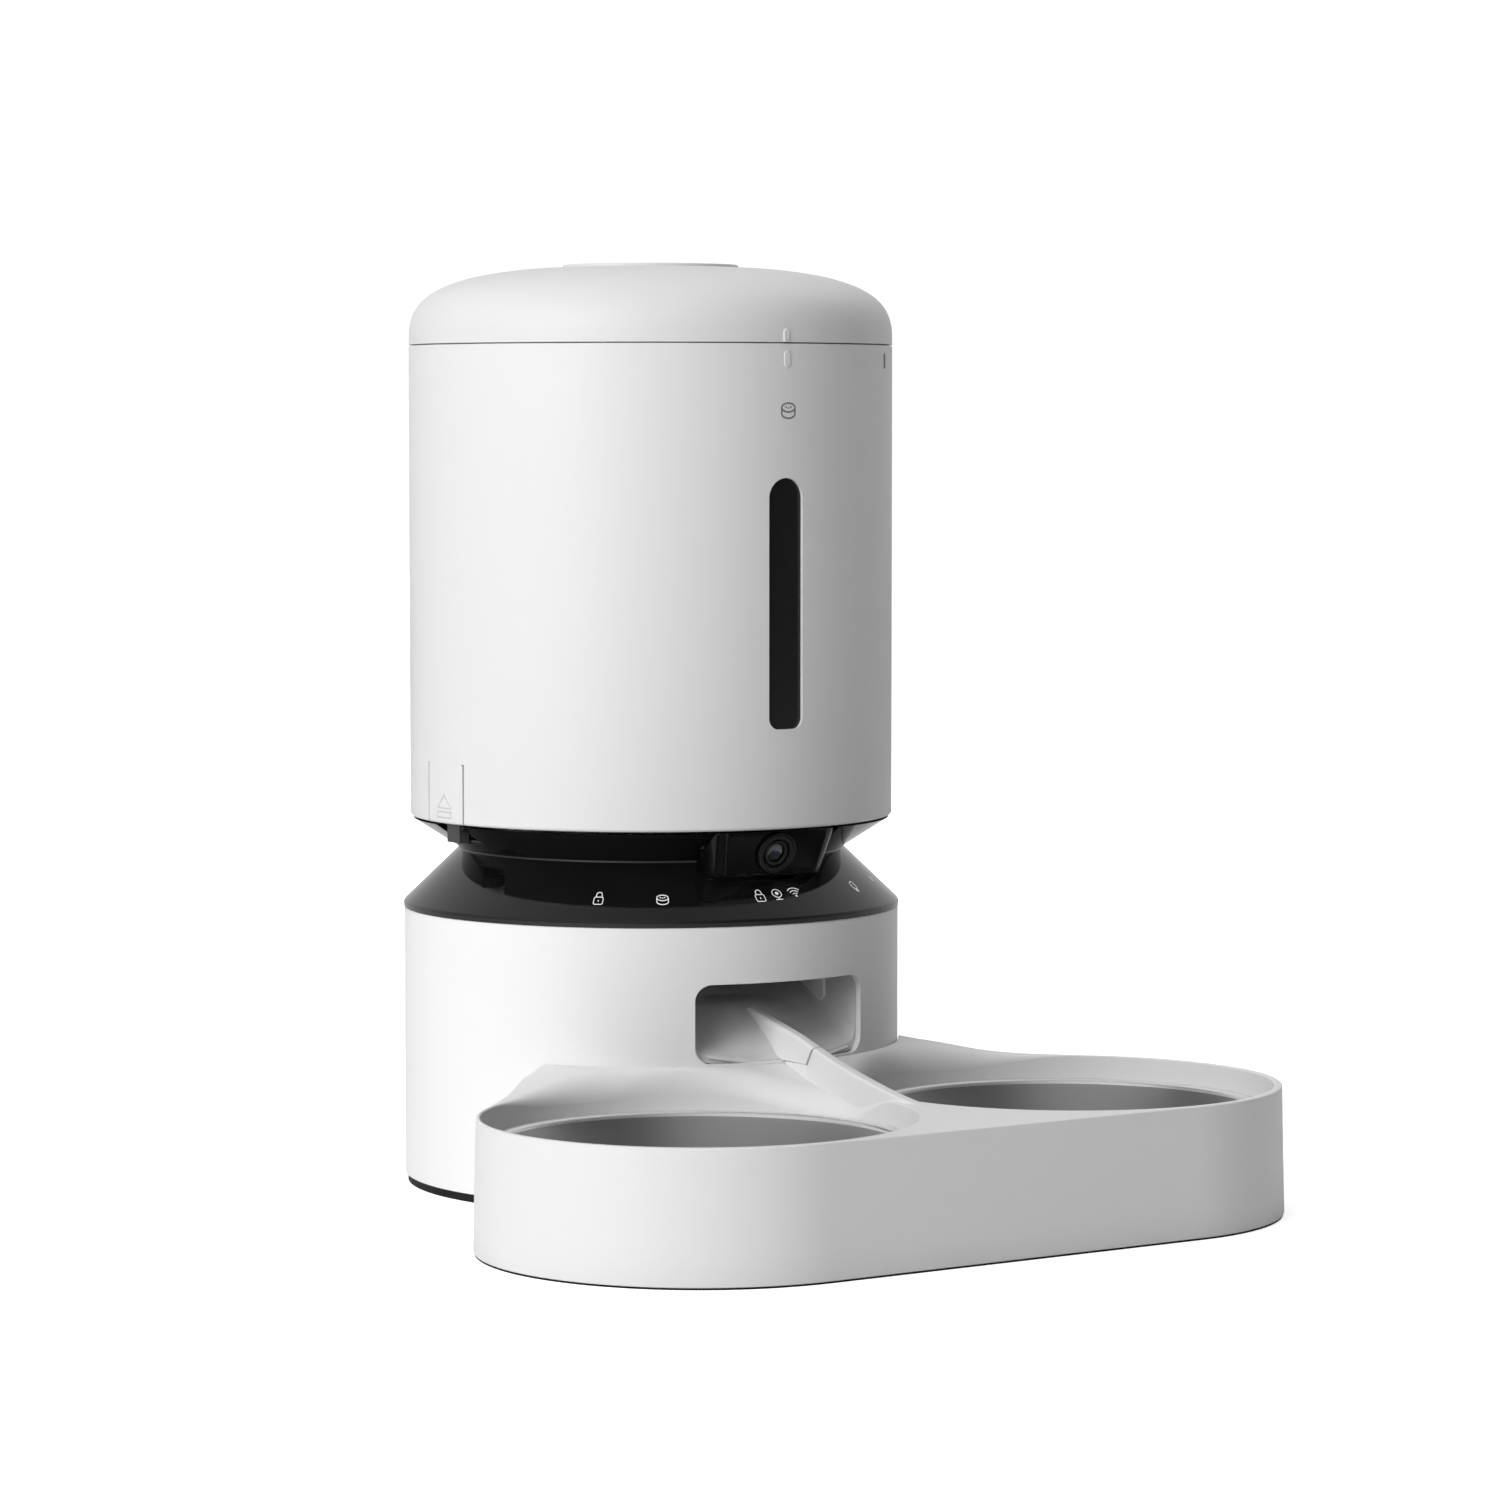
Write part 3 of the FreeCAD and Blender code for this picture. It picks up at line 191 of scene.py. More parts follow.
def circuit_board(name):
    """Green solder mask with faint copper tracks in rows."""
    mat, tree, shader = new_material(name)
    where = coordinates(tree)
    brick = add_node(tree, "TexBrick", {"Vector": where, "Scale": 190.0, "Mortar Size": 0.04,
                                        "Color1": (0.015, 0.10, 0.045, 1),
                                        "Color2": (0.02, 0.14, 0.06, 1),
                                        "Mortar": (0.05, 0.24, 0.11, 1)})
    speck = noise(tree, where, 700.0, 2.0)
    set_inputs(tree, shader, {"Base Color": brick.outputs["Color"],
                              "Roughness": remap(tree, speck, 0.28, 0.4)})
    bump(tree, shader, brick.outputs["Fac"], 0.3, 0.00003)
    return mat


def lens_with_painted_glint(name):
    """Coated camera lens: a painted blue glint in the middle that darkens outwards."""
    middle = (0.0, -0.0143, 0.1183)      # of the painted blue glint, metres
    start, end = 0.0006, 0.0042          # radii between which it fades, metres
    mat, tree, shader = new_material(name)
    where = coordinates(tree)
    far = add_node(tree, "VectorMath", {0: where, 1: middle}, operation="DISTANCE")
    fade = remap(tree, far.outputs["Value"], 0.0, 1.0, start, end)
    ramp = add_node(tree, "ValToRGB", {"Fac": fade})
    stops = ramp.color_ramp.elements
    # painted blue glint at the centre, fading to the dark glass
    stops[0].color = (0.07, 0.17, 0.36, 1)
    stops[1].color = (0.003, 0.003, 0.004, 1)
    stops.new(0.32).color = (0.012, 0.020, 0.040, 1)
    smear = noise(tree, where, 300.0)
    set_inputs(tree, shader, {"Base Color": ramp.outputs["Color"],
                              "Roughness": remap(tree, smear, 0.02, 0.07),
                              "Specular IOR Level": 0.5, "Coat Weight": 1.0,
                              "Coat Roughness": 0.02})
    return mat


def paper_bag(name):
    """Fibrous paper that shows the beads behind it."""
    mat, tree, shader = new_material(name)
    where = coordinates(tree)
    fibre = noise(tree, where, 420.0, 6.0, 0.7)
    beads = add_node(tree, "TexVoronoi", {"Vector": where, "Scale": 330.0})
    tone = blend_colors(tree, remap(tree, fibre, 0.0, 1.0), (0.80, 0.81, 0.80), (0.70, 0.72, 0.72))
    set_inputs(tree, shader, {"Base Color": tone, "Roughness": remap(tree, fibre, 0.75, 0.95)})
    bump(tree, shader, beads.outputs["Distance"], 0.35, 0.0006)
    return mat


def two_shot(name, upper, lower, height, rough):
    """White moulding whose part below a height (metres) is moulded in a dark second colour."""
    mat, tree, shader = new_material(name)
    where = coordinates(tree)
    axes = add_node(tree, "SeparateXYZ", {0: where}).outputs
    above = math_node(tree, "GREATER_THAN", axes[2], height)
    fine = noise(tree, where, 900.0, 2.0)
    set_inputs(tree, shader, {"Base Color": blend_colors(tree, above, lower, upper),
                              "Roughness": remap(tree, fine, rough - 0.03, rough + 0.03)})
    bump(tree, shader, fine, 0.12, 0.00002)
    return mat


white = moulded("white_tank", (0.765, 0.765, 0.765), 0.40, dust=0.006, strength=0.12)
white_lid = moulded("white_lid", (0.735, 0.735, 0.735), 0.40, dust=0.006, strength=0.12)
# the base is whiter than the tank so it looks lit by floor bounce it lacks: painted light
white_base_painted_bounce = moulded("white_base_painted_bounce", (0.87, 0.87, 0.87), 0.40, dust=0.006, strength=0.12)
tab_white = two_shot("tab_two_colours", (0.765, 0.765, 0.765), (0.05, 0.05, 0.052), 0.1259, 0.40)
white_inner = moulded("white_inner", (0.76, 0.76, 0.76), 0.46, grain=600.0, dust=0.015)
white_tray = moulded("white_tray", (0.785, 0.785, 0.785), 0.38, dust=0.006, strength=0.10)
chute_white = moulded("chute_white", (0.675, 0.675, 0.68), 0.34, dust=0.02, strength=0.1)
gloss_black = glossy("gloss_black", (0.0055, 0.0055, 0.006), 0.045, 0.5)
pod_black = glossy("pod_black", (0.004, 0.004, 0.0045), 0.07, 0.30)
matt_black = moulded("matt_black", (0.012, 0.012, 0.013), 0.42, grain=1100.0, dust=0.004,
                     specular=0.35)
bin_black = moulded("bin_black", (0.022, 0.022, 0.024), 0.55, grain=700.0, dust=0.006)
smoke = glossy("smoke_pane", (0.010, 0.010, 0.011), 0.09, 0.35, coat=0.25)
rubber = moulded("foot_rubber", (0.014, 0.014, 0.015), 0.72, grain=1500.0, depth=0.00006,
                 strength=0.5, dust=0.005, specular=0.3)
silicone = moulded("silicone", (0.62, 0.64, 0.66), 0.32, grain=300.0, dust=0.03)
sensor = moulded("sensor_pad", (0.93, 0.93, 0.93), 0.30, grain=300.0, dust=0.02)
# the symbols glow faintly though no lamp lights them: painted brightening
glowing_symbol_paint = moulded("symbol_paint_glowing", (0.92, 0.92, 0.92), 0.45, grain=1600.0, dust=0.03, glow=0.22)
# grey standing in for the shade along the tab's embossed eject sign: painted shade
sign_emboss_shade = moulded("sign_emboss_shade", (0.58, 0.58, 0.58), 0.42, dust=0.01, strength=0.1)
# grey print for the pictogram and side mark, also used as painted shade behind the tab slots
gray_print_and_slot_shade = moulded("gray_print_and_slot_shade", (0.20, 0.20, 0.21), 0.5, grain=1600.0, dust=0.02)
board = circuit_board("solder_mask")
can = metal("motor_can", (0.62, 0.63, 0.65), 0.32)
steel_pin = metal("turned_steel", (0.6, 0.6, 0.62), 0.25)
brass = metal("plated_strip", (0.78, 0.66, 0.38), 0.3, (500.0, 500.0, 40.0))
acetal = moulded("acetal", (0.74, 0.72, 0.64), 0.38, grain=800.0, dust=0.03)
jacket = glossy("cell_sleeve", (0.05, 0.07, 0.10), 0.18, 0.5)
bag = paper_bag("desiccant_bag")
lens = lens_with_painted_glint("glass_with_painted_glint")

NODE_LOOK = {
    "base_shell": white_base_painted_bounce, "base_floor": bin_black, "foot_ring": rubber, "floor_screws": steel_pin,
    "battery_bay": bin_black, "battery_cells": jacket, "battery_contacts": brass,
    "battery_door": bin_black, "power_jack": matt_black, "speaker": matt_black,
    "main_board": board, "outlet_chute": chute_white, "sensor_windows": sensor,
    "splitter_tip": white_tray, "control_panel": gloss_black, "neck_cradle": gloss_black,
    "touch_board": board, "camera_housing": pod_black, "lens_ring": matt_black,
    "camera_lens": lens, "camera_board": board, "motor": can, "motor_shaft": steel_pin,
    "motor_pinion": brass, "idler_gear": acetal, "idler_pin": steel_pin, "drive_gear": acetal,
    "output_shaft": acetal, "output_bush": brass, "gearbox_case": acetal,
    "gearbox_lid": acetal, "release_tab_left": tab_white, "release_tab_right": tab_white,
    "tank_shell": white, "level_window": smoke, "tank_funnel": white_inner,
    "drop_shield": white_inner, "rotor_hub": white_inner, "rotor_vanes": silicone,
    "agitator": white_inner, "lid_dome": white_lid, "lid_inlay": white_lid, "lid_liner": white_inner,
    "lid_seal": silicone, "desiccant_pack": bag, "desiccant_cover": white_inner,
    "tray": white_tray, "tray_feet": rubber,
}
for name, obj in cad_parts.items():
    look = NODE_LOOK.get(name)
    if look is None:
        continue
    if not obj.material_slots:
        obj.data.materials.append(look)
    for item in obj.material_slots:
        item.material = look


# ------------------------------------------------------------------ mesh helpers
def place(x, y, z):
    """A point given in mm about the body's axis, as metres in the object's frame."""
    return (x * MM, (y + AXIS_Y) * MM, z * MM)


def fix_normals(obj):
    """Merges doubled points and turns all faces outwards."""
    work = bmesh.new()
    work.from_mesh(obj.data)
    bmesh.ops.remove_doubles(work, verts=work.verts, dist=1e-6)
    bmesh.ops.recalc_face_normals(work, faces=work.faces)
    work.to_mesh(obj.data)
    work.free()


class Builder:
    """Collects points (mm about the axis) and faces of one piece."""

    def __init__(self):
        self.points, self.faces, self.looks = [], [], []

    def add(self, points, faces, look=0):
        start = len(self.points)
        self.points += [tuple(p) for p in points]
        self.faces += [tuple(start + i for i in face) for face in faces]
        self.looks += [look] * len(faces)

    def strips(self, rows, closed=True, look=0, flip=False):
        """Quads between rows of equally many points."""
        count = len(rows[0])
        points = [p for row in rows for p in row]
        faces = []
        for r in range(len(rows) - 1):
            for i in range(count if closed else count - 1):
                j = (i + 1) % count
                quad = (r * count + i, r * count + j, (r + 1) * count + j, (r + 1) * count + i)
                faces.append(quad[::-1] if flip else quad)
        self.add(points, faces, look)

    def finish(self, name, looks, body, replaced=(), smooth=True, sharp=None, slot=None,
               outward=True):
        """Makes the mesh object; looks is one material or a list, sharp an angle in degrees."""
        data = bpy.data.meshes.new(name)
        data.from_pydata([place(*p) for p in self.points], [], self.faces)
        for look in looks if isinstance(looks, list) else [looks]:
            data.materials.append(look)
        for polygon, look in zip(data.polygons, self.looks):
            polygon.use_smooth = smooth
            polygon.material_index = look
        data.validate()
        obj = bpy.data.objects.new(name, data)
        bpy.context.scene.collection.objects.link(obj)
        if sharp is not None:
            data.set_sharp_from_angle(angle=math.radians(sharp))
        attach(obj, body)
        if replaced:
            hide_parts(*replaced)
        if outward:
            fix_normals(obj)


def smoothstep(low, high, value):
    t = min(1.0, max(0.0, (value - low) / (high - low)))
    return t * t * (3 - 2 * t)


def along(line, at):
    """Height at a place on a line of (place, height) points."""
    for (a0, h0), (a1, h1) in zip(line, line[1:]):
        if at <= a1:
            return h0 + (h1 - h0) * (at - a0) / (a1 - a0)
    return line[-1][1]


def circle(cx, cy, radius, count):
    return [(cx + radius * math.cos(2 * pi * i / count), cy + radius * math.sin(2 * pi * i / count))
            for i in range(count)]


# ------------------------------------------------------------------ tray
LOBE_X, LOBE_Y, LOBE_R = 72.1, -141.3, 71.9
BOWL_X, BOWL_Y = 72.0, -140.2
WELL_R, LEDGE, THROAT_R, CEILING = 69.1, 32.2, 65.2, 30.2
WELL_POINTS = 300
BACK_R = 85.4                    # the arc around the base
TRAY_LOW, SKIN = 0.6, 2.4
HIGHEST, PLATEAU = 50.0, 43.0    # above all of the top; its flat part, roughly
DRAFT = math.tan(math.radians(1.3))
EDGE_ROUND, BACK_ROUND = 0.5, 0.3
NEAR_EDGE = 0.9995               # a triangle is in a hole when its middle is this far inside
# the top's height at a distance from the axis
TRAY_SLOPE = [(85.0, 48.9), (98.0, 46.6), (110.0, 44.5), (118.0, 43.45), (128.0, 42.95),
              (140.0, 42.9), (400.0, 42.9)]
# the ridge's height at a y: a thin fin near the base, then the crest
RIDGE_HALF, RIDGE_FOOT = 2.2, 34.0
RIDGE_FIN = [(-85.45, 49.1), (-91.0, 49.15), (-97.2, 49.2)]
RIDGE_LINE = [(-97.75, 48.9), (-101.45, 55.05), (-107, 53.4), (-120, 49.9), (-137, 46.4),
              (-150, 44.1), (-158, 43.2), (-166, 42.6)]


def flank_corner(inset, back_radius):
    """Where the right flank line meets the arc around the base."""
    r = LOBE_R - inset
    d = r / math.sqrt(2)
    px, py = LOBE_X + d, LOBE_Y + d
    # the point (px - t, py + t) at the given radius
    b, c = (py - px), (px * px + py * py - back_radius ** 2) / 2
    t = (-b - math.sqrt(b * b - 4 * c)) / 2
    return px, py, t


def outline(inset, back_radius=BACK_R, lobe=64, flank=36, front=60, back=90):
    """Points around the tray, equally many for every inset: right flank, lobe, front, left, back."""
    r = LOBE_R - inset
    px, py, t = flank_corner(inset, back_radius)
    right = [(px - t * (1 - i / flank), py + t * (1 - i / flank)) for i in range(flank)]
    for i in range(lobe):
        a = pi / 4 - (3 * pi / 4) * i / lobe
        right.append((LOBE_X + r * math.cos(a), LOBE_Y + r * math.sin(a)))
    line = [(LOBE_X - 2 * LOBE_X * i / front, LOBE_Y - r) for i in range(front + 1)]
    left = [(-x, y) for x, y in reversed(right)]
    first = math.atan2(left[-1][1], left[-1][0])
    first -= 2 * pi if first > 0 else 0
    last = math.atan2(right[0][1], right[0][0])
    behind = [(back_radius * math.cos(first + (last - first) * i / back),
               back_radius * math.sin(first + (last - first) * i / back))
              for i in range(1, back)]
    return right + line + left + behind


def smooth_height(x, y):
    """The tray's slope averaged over a few millimetres of radius, so the bends are soft."""
    wall_r, wall_slope = 85.0, 0.177
    far = max(1e-6, math.hypot(x, y))
    total = 0.0
    for step in (-6, -4, -2, 0, 2, 4, 6):
        r = max(wall_r, far + step)
        sag = 2.6 * math.exp(-(x / far * r / 24.0) ** 2)
        sag *= smoothstep(85, 99, r) * smoothstep(-150, -128, y / far * r)
        total += along(TRAY_SLOPE, r) - sag + (r - far - step) * wall_slope
    return total / 7


def well_distance(x, y):
    """Distance from the centre of the nearer well."""
    return math.hypot(abs(x) - BOWL_X, y - BOWL_Y)


def well_round(x, y):
    """Width and depth of the well edge's rounding: deep at the back, small at the lips."""
    dx, dy = BOWL_X - abs(x), y - BOWL_Y
    a = math.degrees(math.atan2(dy, dx))
    if a < -90:
        a += 360
    back = smoothstep(-4, 16, a) * (1 - smoothstep(82, 130, a))
    depth = 0.45 + 7.3 * back
    far = math.hypot(dx, dy) or 1.0
    room = math.hypot(BOWL_X - dx * WELL_R / far, BOWL_Y + dy * WELL_R / far) - BACK_R - 0.15
    return min(depth, max(0.75, room)), depth


def round_drop(distance, width, depth=None):
    """How far a rounded edge falls at a distance from it; an ellipse when depth is given."""
    if distance >= width:
        return 0.0
    inner = 1 - max(0.0, distance) / width
    return (depth or width) * (1 - math.sqrt(max(0.0, 1 - inner * inner)))


def edge_round(x, y):
    """Radius of the outer edge: the flanks roll over where they meet the base."""
    near = 1 - smoothstep(86, 104, math.hypot(x, y))
    return EDGE_ROUND + (4.2 * near if abs(x) > 60 else 0.0)


def edge_distance(x, y, inset):
    """Distance from the outer edge of the tray's top, for one inset of that edge."""
    ax = abs(x)
    r = LOBE_R - inset
    front = y - (LOBE_Y - r)
    d = r / math.sqrt(2)
    flank = ((LOBE_X + d) - ax + (LOBE_Y + d) - y) / math.sqrt(2)
    dist = min(front, flank)
    vx, vy = ax - LOBE_X, y - LOBE_Y
    if vx > 0 and vy < vx:
        dist = min(dist, r - math.hypot(vx, vy))
    return dist


def top_inset(z):
    """How far the draft brings the outer wall in at a height."""
    return (z - TRAY_LOW) * DRAFT


def top_height(x, y):
    """Height of the tray's top with its edges rounded."""
    z = smooth_height(x, y)
    outer = edge_distance(x, y, top_inset(z))
    return z - max(round_drop(well_distance(x, y) - WELL_R, *well_round(x, y)),
                   round_drop(outer, edge_round(x, y)),
                   round_drop(math.hypot(x, y) - BACK_R, BACK_ROUND))


def well_ring(side, share):
    """A ring outside the well's edge, at a share of the rounding's width there."""
    ring = []
    for i in range(WELL_POINTS):
        a = 2 * pi * i / WELL_POINTS
        c, s = math.cos(a), math.sin(a)
        width, _ = well_round(BOWL_X * side + WELL_R * c, BOWL_Y + WELL_R * s)
        r = WELL_R + width * share
        ring.append((BOWL_X * side + r * c, BOWL_Y + r * s))
    return ring


def top_outline(inset, **keys):
    """Outer edge of the top, where the draft puts it at each point's own height."""
    points = []
    full = top_inset(HIGHEST)
    for (x0, y0), (x1, y1) in zip(outline(inset, **keys), outline(full + inset, **keys)):
        x, y = x1, y1
        for _ in range(3):
            k = top_inset(smooth_height(x, y)) / full
            x, y = x0 + (x1 - x0) * k, y0 + (y1 - y0) * k
        points.append((x, y))
    return points


def triangulate(loops, loose, outside, upward):
    """A flat sheet of triangles between loops and loose points, without those outside."""
    points, edges = [], []
    for loop in loops:
        start, count = len(points), len(loop)
        points += loop
        edges += [(start + i, start + (i + 1) % count) for i in range(count)]
    flat, _, faces = delaunay_2d_cdt([Vector(p) for p in points + loose], edges, [], 0, 1e-4)[:3]
    kept = []
    for face in faces:
        a, b, c = (flat[i] for i in face)
        area = (b.x - a.x) * (c.y - a.y) - (b.y - a.y) * (c.x - a.x)
        if abs(area) > 1e-7 and not outside((a.x + b.x + c.x) / 3, (a.y + b.y + c.y) / 3):
            kept.append(tuple(face) if (area > 0) == upward else tuple(reversed(face)))
    return flat, kept


def top_points():
    """Points inside the tray's top: rings along its rounded edges and a grid between them."""
    inset = top_inset(PLATEAU)
    taken = []

    def belongs(x, y, margin):
        return (math.hypot(x, y) >= BACK_R + margin and edge_distance(x, y, inset) >= margin
                and well_distance(x, y) > WELL_R + margin)

    for side in (-1, 1):
        for turn in (0.10, 0.2, 0.31, 0.42, 0.54, 0.66, 0.78, 0.9, 1.0, 1.12, 1.3):
            share = 1 - math.cos(turn * pi / 2) if turn <= 1 else turn
            for x, y in well_ring(side, share):
                gap = well_distance(x, y) - WELL_R
                if x * side >= 0.02 and belongs(x, y, 0.03) and edge_distance(x, y, inset) > gap * 0.9:
                    taken.append((x, y))
    for share in (0.05, 0.16, 0.32, 0.5, 0.72, 1.0, 1.5):
        own = EDGE_ROUND * share
        for x, y in top_outline(own, back_radius=BACK_R + BACK_ROUND * share):
            if well_distance(x, y) - WELL_R > max(own, 0.05):
                taken.append((x, y))
    for own in (1.1, 1.6, 2.2, 2.9, 3.7, 4.6):
        for x, y in top_outline(own, back_radius=BACK_R + BACK_ROUND):
            if abs(x) > 60 and 86.2 < math.hypot(x, y) < 106:
                taken.append((x, y))
    step = 2.4
    y, row = -215.0, 0
    while y < -30:
        x = step / 2 if row % 2 else 0.0
        while x < 130:
            for sx in ((x, -x) if x else (0.0,)):
                reach = max(well_round(sx, y)[0] * 1.3, 1.0)
                if belongs(sx, y, 1.4) and well_distance(sx, y) - WELL_R > reach + 0.6:
                    taken.append((sx, y))
            x += step
        y += step * 0.866
        row += 1
    return taken


def scaled(ring, side, share):
    """A ring about one well's centre, made larger or smaller."""
    return [(BOWL_X * side + (x - BOWL_X * side) * share, BOWL_Y + (y - BOWL_Y) * share)
            for x, y in ring]


def level(ring, z):
    return [(x, y, z) for x, y in ring]


def build_top(made, edge, wells):
    def outside(x, y):
        return (math.hypot(x, y) < BACK_R * NEAR_EDGE or well_distance(x, y) < WELL_R * 0.99985
                or edge_distance(x, y, top_inset(smooth_height(x, y))) < -0.02)

    flat, faces = triangulate([edge, *wells.values()], top_points(), outside, upward=True)
    made.add([(p.x, p.y, top_height(p.x, p.y)) for p in flat], faces)


def build_outer_wall(made, edge):
    """From the top's edge down to a small round at the foot, under it and up inside."""
    tops = [top_height(*p) for p in edge]
    low = outline(0.0)
    rows = [[(x, y, z) for (x, y), z in zip(edge, tops)]]
    for share in (0.02, 0.25, 0.5, 0.75, 1.0):
        row = []
        for (x, y), (low_x, low_y), top in zip(edge, low, tops):
            z = top + (TRAY_LOW + 0.5 - top) * share
            k = (top - z) / (top - TRAY_LOW)
            row.append((x + (low_x - x) * k, y + (low_y - y) * k, z))
        rows.append(row)
    for inset, back, z in ((0.15, 0.08, TRAY_LOW + 0.15), (0.5, 0.3, TRAY_LOW),
                           (SKIN, SKIN, TRAY_LOW), (SKIN, SKIN, CEILING)):
        rows.append(level(outline(inset, back_radius=BACK_R + back), z))
    made.strips(rows)


def build_ceiling(made):
    """Underside of the top, over the hollow between wall and wells."""
    def outside(x, y):
        return (well_distance(x, y) < THROAT_R * NEAR_EDGE
                or math.hypot(x, y) < (BACK_R + SKIN) * NEAR_EDGE or edge_distance(x, y, SKIN) < -0.02)

    hollow = outline(SKIN, back_radius=BACK_R + SKIN)
    throats = [circle(BOWL_X * side, BOWL_Y, THROAT_R, 200) for side in (-1, 1)]
    flat, faces = triangulate([hollow, *throats], [], outside, upward=False)
    made.add([(p.x, p.y, CEILING) for p in flat], faces)


def build_wells(made, wells):
    """Well walls, the ledges that carry the bowls, and the throats under them."""
    just_outside = 1.00001
    for side, wall in wells.items():
        rim = [(x, y, top_height(*near))
               for (x, y), near in zip(wall, scaled(wall, side, just_outside))]
        under = [(x, y, z - 0.5) for x, y, z in rim]
        throat = scaled(wall, side, THROAT_R / WELL_R)
        for pair in ((rim, under), (under, level(wall, LEDGE)),
                     (level(wall, LEDGE), level(throat, LEDGE)),
                     (level(throat, LEDGE), level(throat, CEILING))):
            made.strips(pair, flip=True)


def build_ridge(made):
    """A fin from the base's wall, low at first, then a rounded crest that runs out in front."""
    dense = []
    for (y0, z0), (y1, z1) in zip(RIDGE_LINE, RIDGE_LINE[1:]):
        parts = max(2, int(abs(y1 - y0) / 1.5)) if y0 < -100 else 4
        dense += [(y0 + (y1 - y0) * i / parts, z0 + (z1 - z0) * i / parts) for i in range(parts)]
    dense.append(RIDGE_LINE[-1])
    soft = [(y, sum(p[1] for p in dense[i - 4:i + 5]) / 9 if 8 < i < len(dense) - 4 else z)
            for i, (y, z) in enumerate(dense)]
    rows = []
    for line, crest in ((RIDGE_FIN, 0.05), (soft, 0.95)):
        for y, z in line:
            section = [(-RIDGE_HALF, RIDGE_FOOT), (-RIDGE_HALF, z - crest)]
            for k in (1, 2, 3, 4):
                a = pi - k * pi / 8
                section.append((-RIDGE_HALF + crest + crest * math.cos(a),
                                z - crest + crest * math.sin(a)))
            section += [(-x, h) for x, h in reversed(section)]
            rows.append([(x, y, h) for x, h in section])
    made.strips(rows, closed=False)
    made.add(rows[0], [tuple(range(len(rows[0])))])


def build_tray():
    made = Builder()
    edge = top_outline(0.0)
    wells = {side: well_ring(side, 0.0) for side in (-1, 1)}
    build_top(made, edge, wells)
    build_outer_wall(made, edge)
    build_ceiling(made)
    build_wells(made, wells)
    build_ridge(made)
    made.finish("tray_moulding", white_tray, "tray", ["tray"], sharp=38, slot="white_plastic",
                outward=False)


build_tray()


# ------------------------------------------------------------------ crowned ramp in the outlet
RAMP_HALF, RAMP_FRONT_R, RAMP_BACK = 28.0, 83.6, -44.0
CROWN_HALF, CROWN_FADE = 2.5, 25.0
# the crest's height at a y, read off the photo
CROWN = [(-84.0, 48.0), (-81.8, 48.9), (-78.6, 52.2), (-75.4, 55.1), (-72.2, 57.6), (-68.9, 59.9),
         (-65.7, 62.0), (-62.4, 63.9), (-59.0, 65.3), (-55.0, 66.3), (-50.0, 66.9), (-44.0, 68.2)]


def ramp_height(y):
    """The CAD's plain ramp."""
    return 49.4 + 0.5 * (y + 82.8)


def build_ramp_crown():
    """Hump along the middle of the ramp, which turns the food to either bowl."""
    across, deep = 48, 40
    upper, lower = [], []
    for i in range(deep + 1):
        upper.append([])
        for j in range(across + 1):
            x = -RAMP_HALF + 2 * RAMP_HALF * j / across
            front = -math.sqrt(RAMP_FRONT_R ** 2 - x * x)
            y = front + (RAMP_BACK - front) * i / deep
            floor = ramp_height(y) - 0.35
            crest = sum(along(CROWN, min(RAMP_BACK, y + k)) for k in (-0.6, 0.0, 0.6)) / 3
            fade = min(1.0, max(0.0, (abs(x) - CROWN_HALF) / CROWN_FADE))
            upper[-1].append((x, y, floor + (crest - floor) * 0.5 * (1 + math.cos(pi * fade))))
        lower.append([(x, y, ramp_height(y) - 0.8) for x, y, _ in upper[-1]])
    made = Builder()
    made.strips(upper, closed=False, flip=True)
    made.strips(lower, closed=False)
    made.finish("ramp_crown", chute_white, "base", slot="white_plastic")


# ------------------------------------------------------------------ bowls
def revolve(profile, cx, cy, count=192):
    """Rows of a round body about an upright axis; profile is (radius, height)."""
    return [level(circle(cx, cy, r, count), z) for r, z in profile]


def smooth_profile(points, passes=3):
    """Chaikin corner cutting that keeps the ends."""
    for _ in range(passes):
        out = [points[0]]
        for (r0, z0), (r1, z1) in zip(points, points[1:]):
            out.append((r0 * 0.75 + r1 * 0.25, z0 * 0.75 + z1 * 0.25))
            out.append((r0 * 0.25 + r1 * 0.75, z0 * 0.25 + z1 * 0.75))
        out.append(points[-1])
        points = out
    return points


def build_bowl(side, label):
    """Pressed steel bowl: brushed inside and outside, with a polished rolled rim."""
    inside = [(0.01, 7.8), (30.0, 7.8), (47.0, 7.9), (55.0, 10.0), (59.6, 14.6), (61.2, 21.0),
              (63.8, 32.0), (64.3, 33.6)]
    rim = [(64.3, 33.6), (64.7, 34.75), (66.2, 35.3), (67.6, 35.2), (68.25, 34.6), (68.15, 33.7),
           (67.3, 33.2), (66.2, 33.6), (65.1, 32.6)]
    outside = [(65.1, 32.6), (64.4, 31.0), (62.0, 21.0), (60.4, 14.0), (56.0, 9.4), (48.0, 7.1),
               (30.0, 7.0), (0.01, 7.0)]
    made = Builder()
    for profile, look in ((inside, 0), (rim, 1), (outside, 0)):
        made.strips(revolve(smooth_profile(profile), BOWL_X * side, BOWL_Y), look=look)
    center = place(BOWL_X * side, BOWL_Y, 0.0)
    brushed = brushed_round(f"brushed_{label}", (0.47, 0.47, 0.475), 0.36, center, lines=2600.0,
                            strength=0.12, metallic=1.0)
    polished = brushed_round(f"polished_{label}", (0.88, 0.88, 0.88), 0.24, center, lines=1200.0,
                             strength=0.1, metallic=0.8)
    made.finish(label + "_pressing", [brushed, polished], label, [label], slot="steel")


build_ramp_crown()
build_bowl(-1, "bowl_left")
build_bowl(1, "bowl_right")


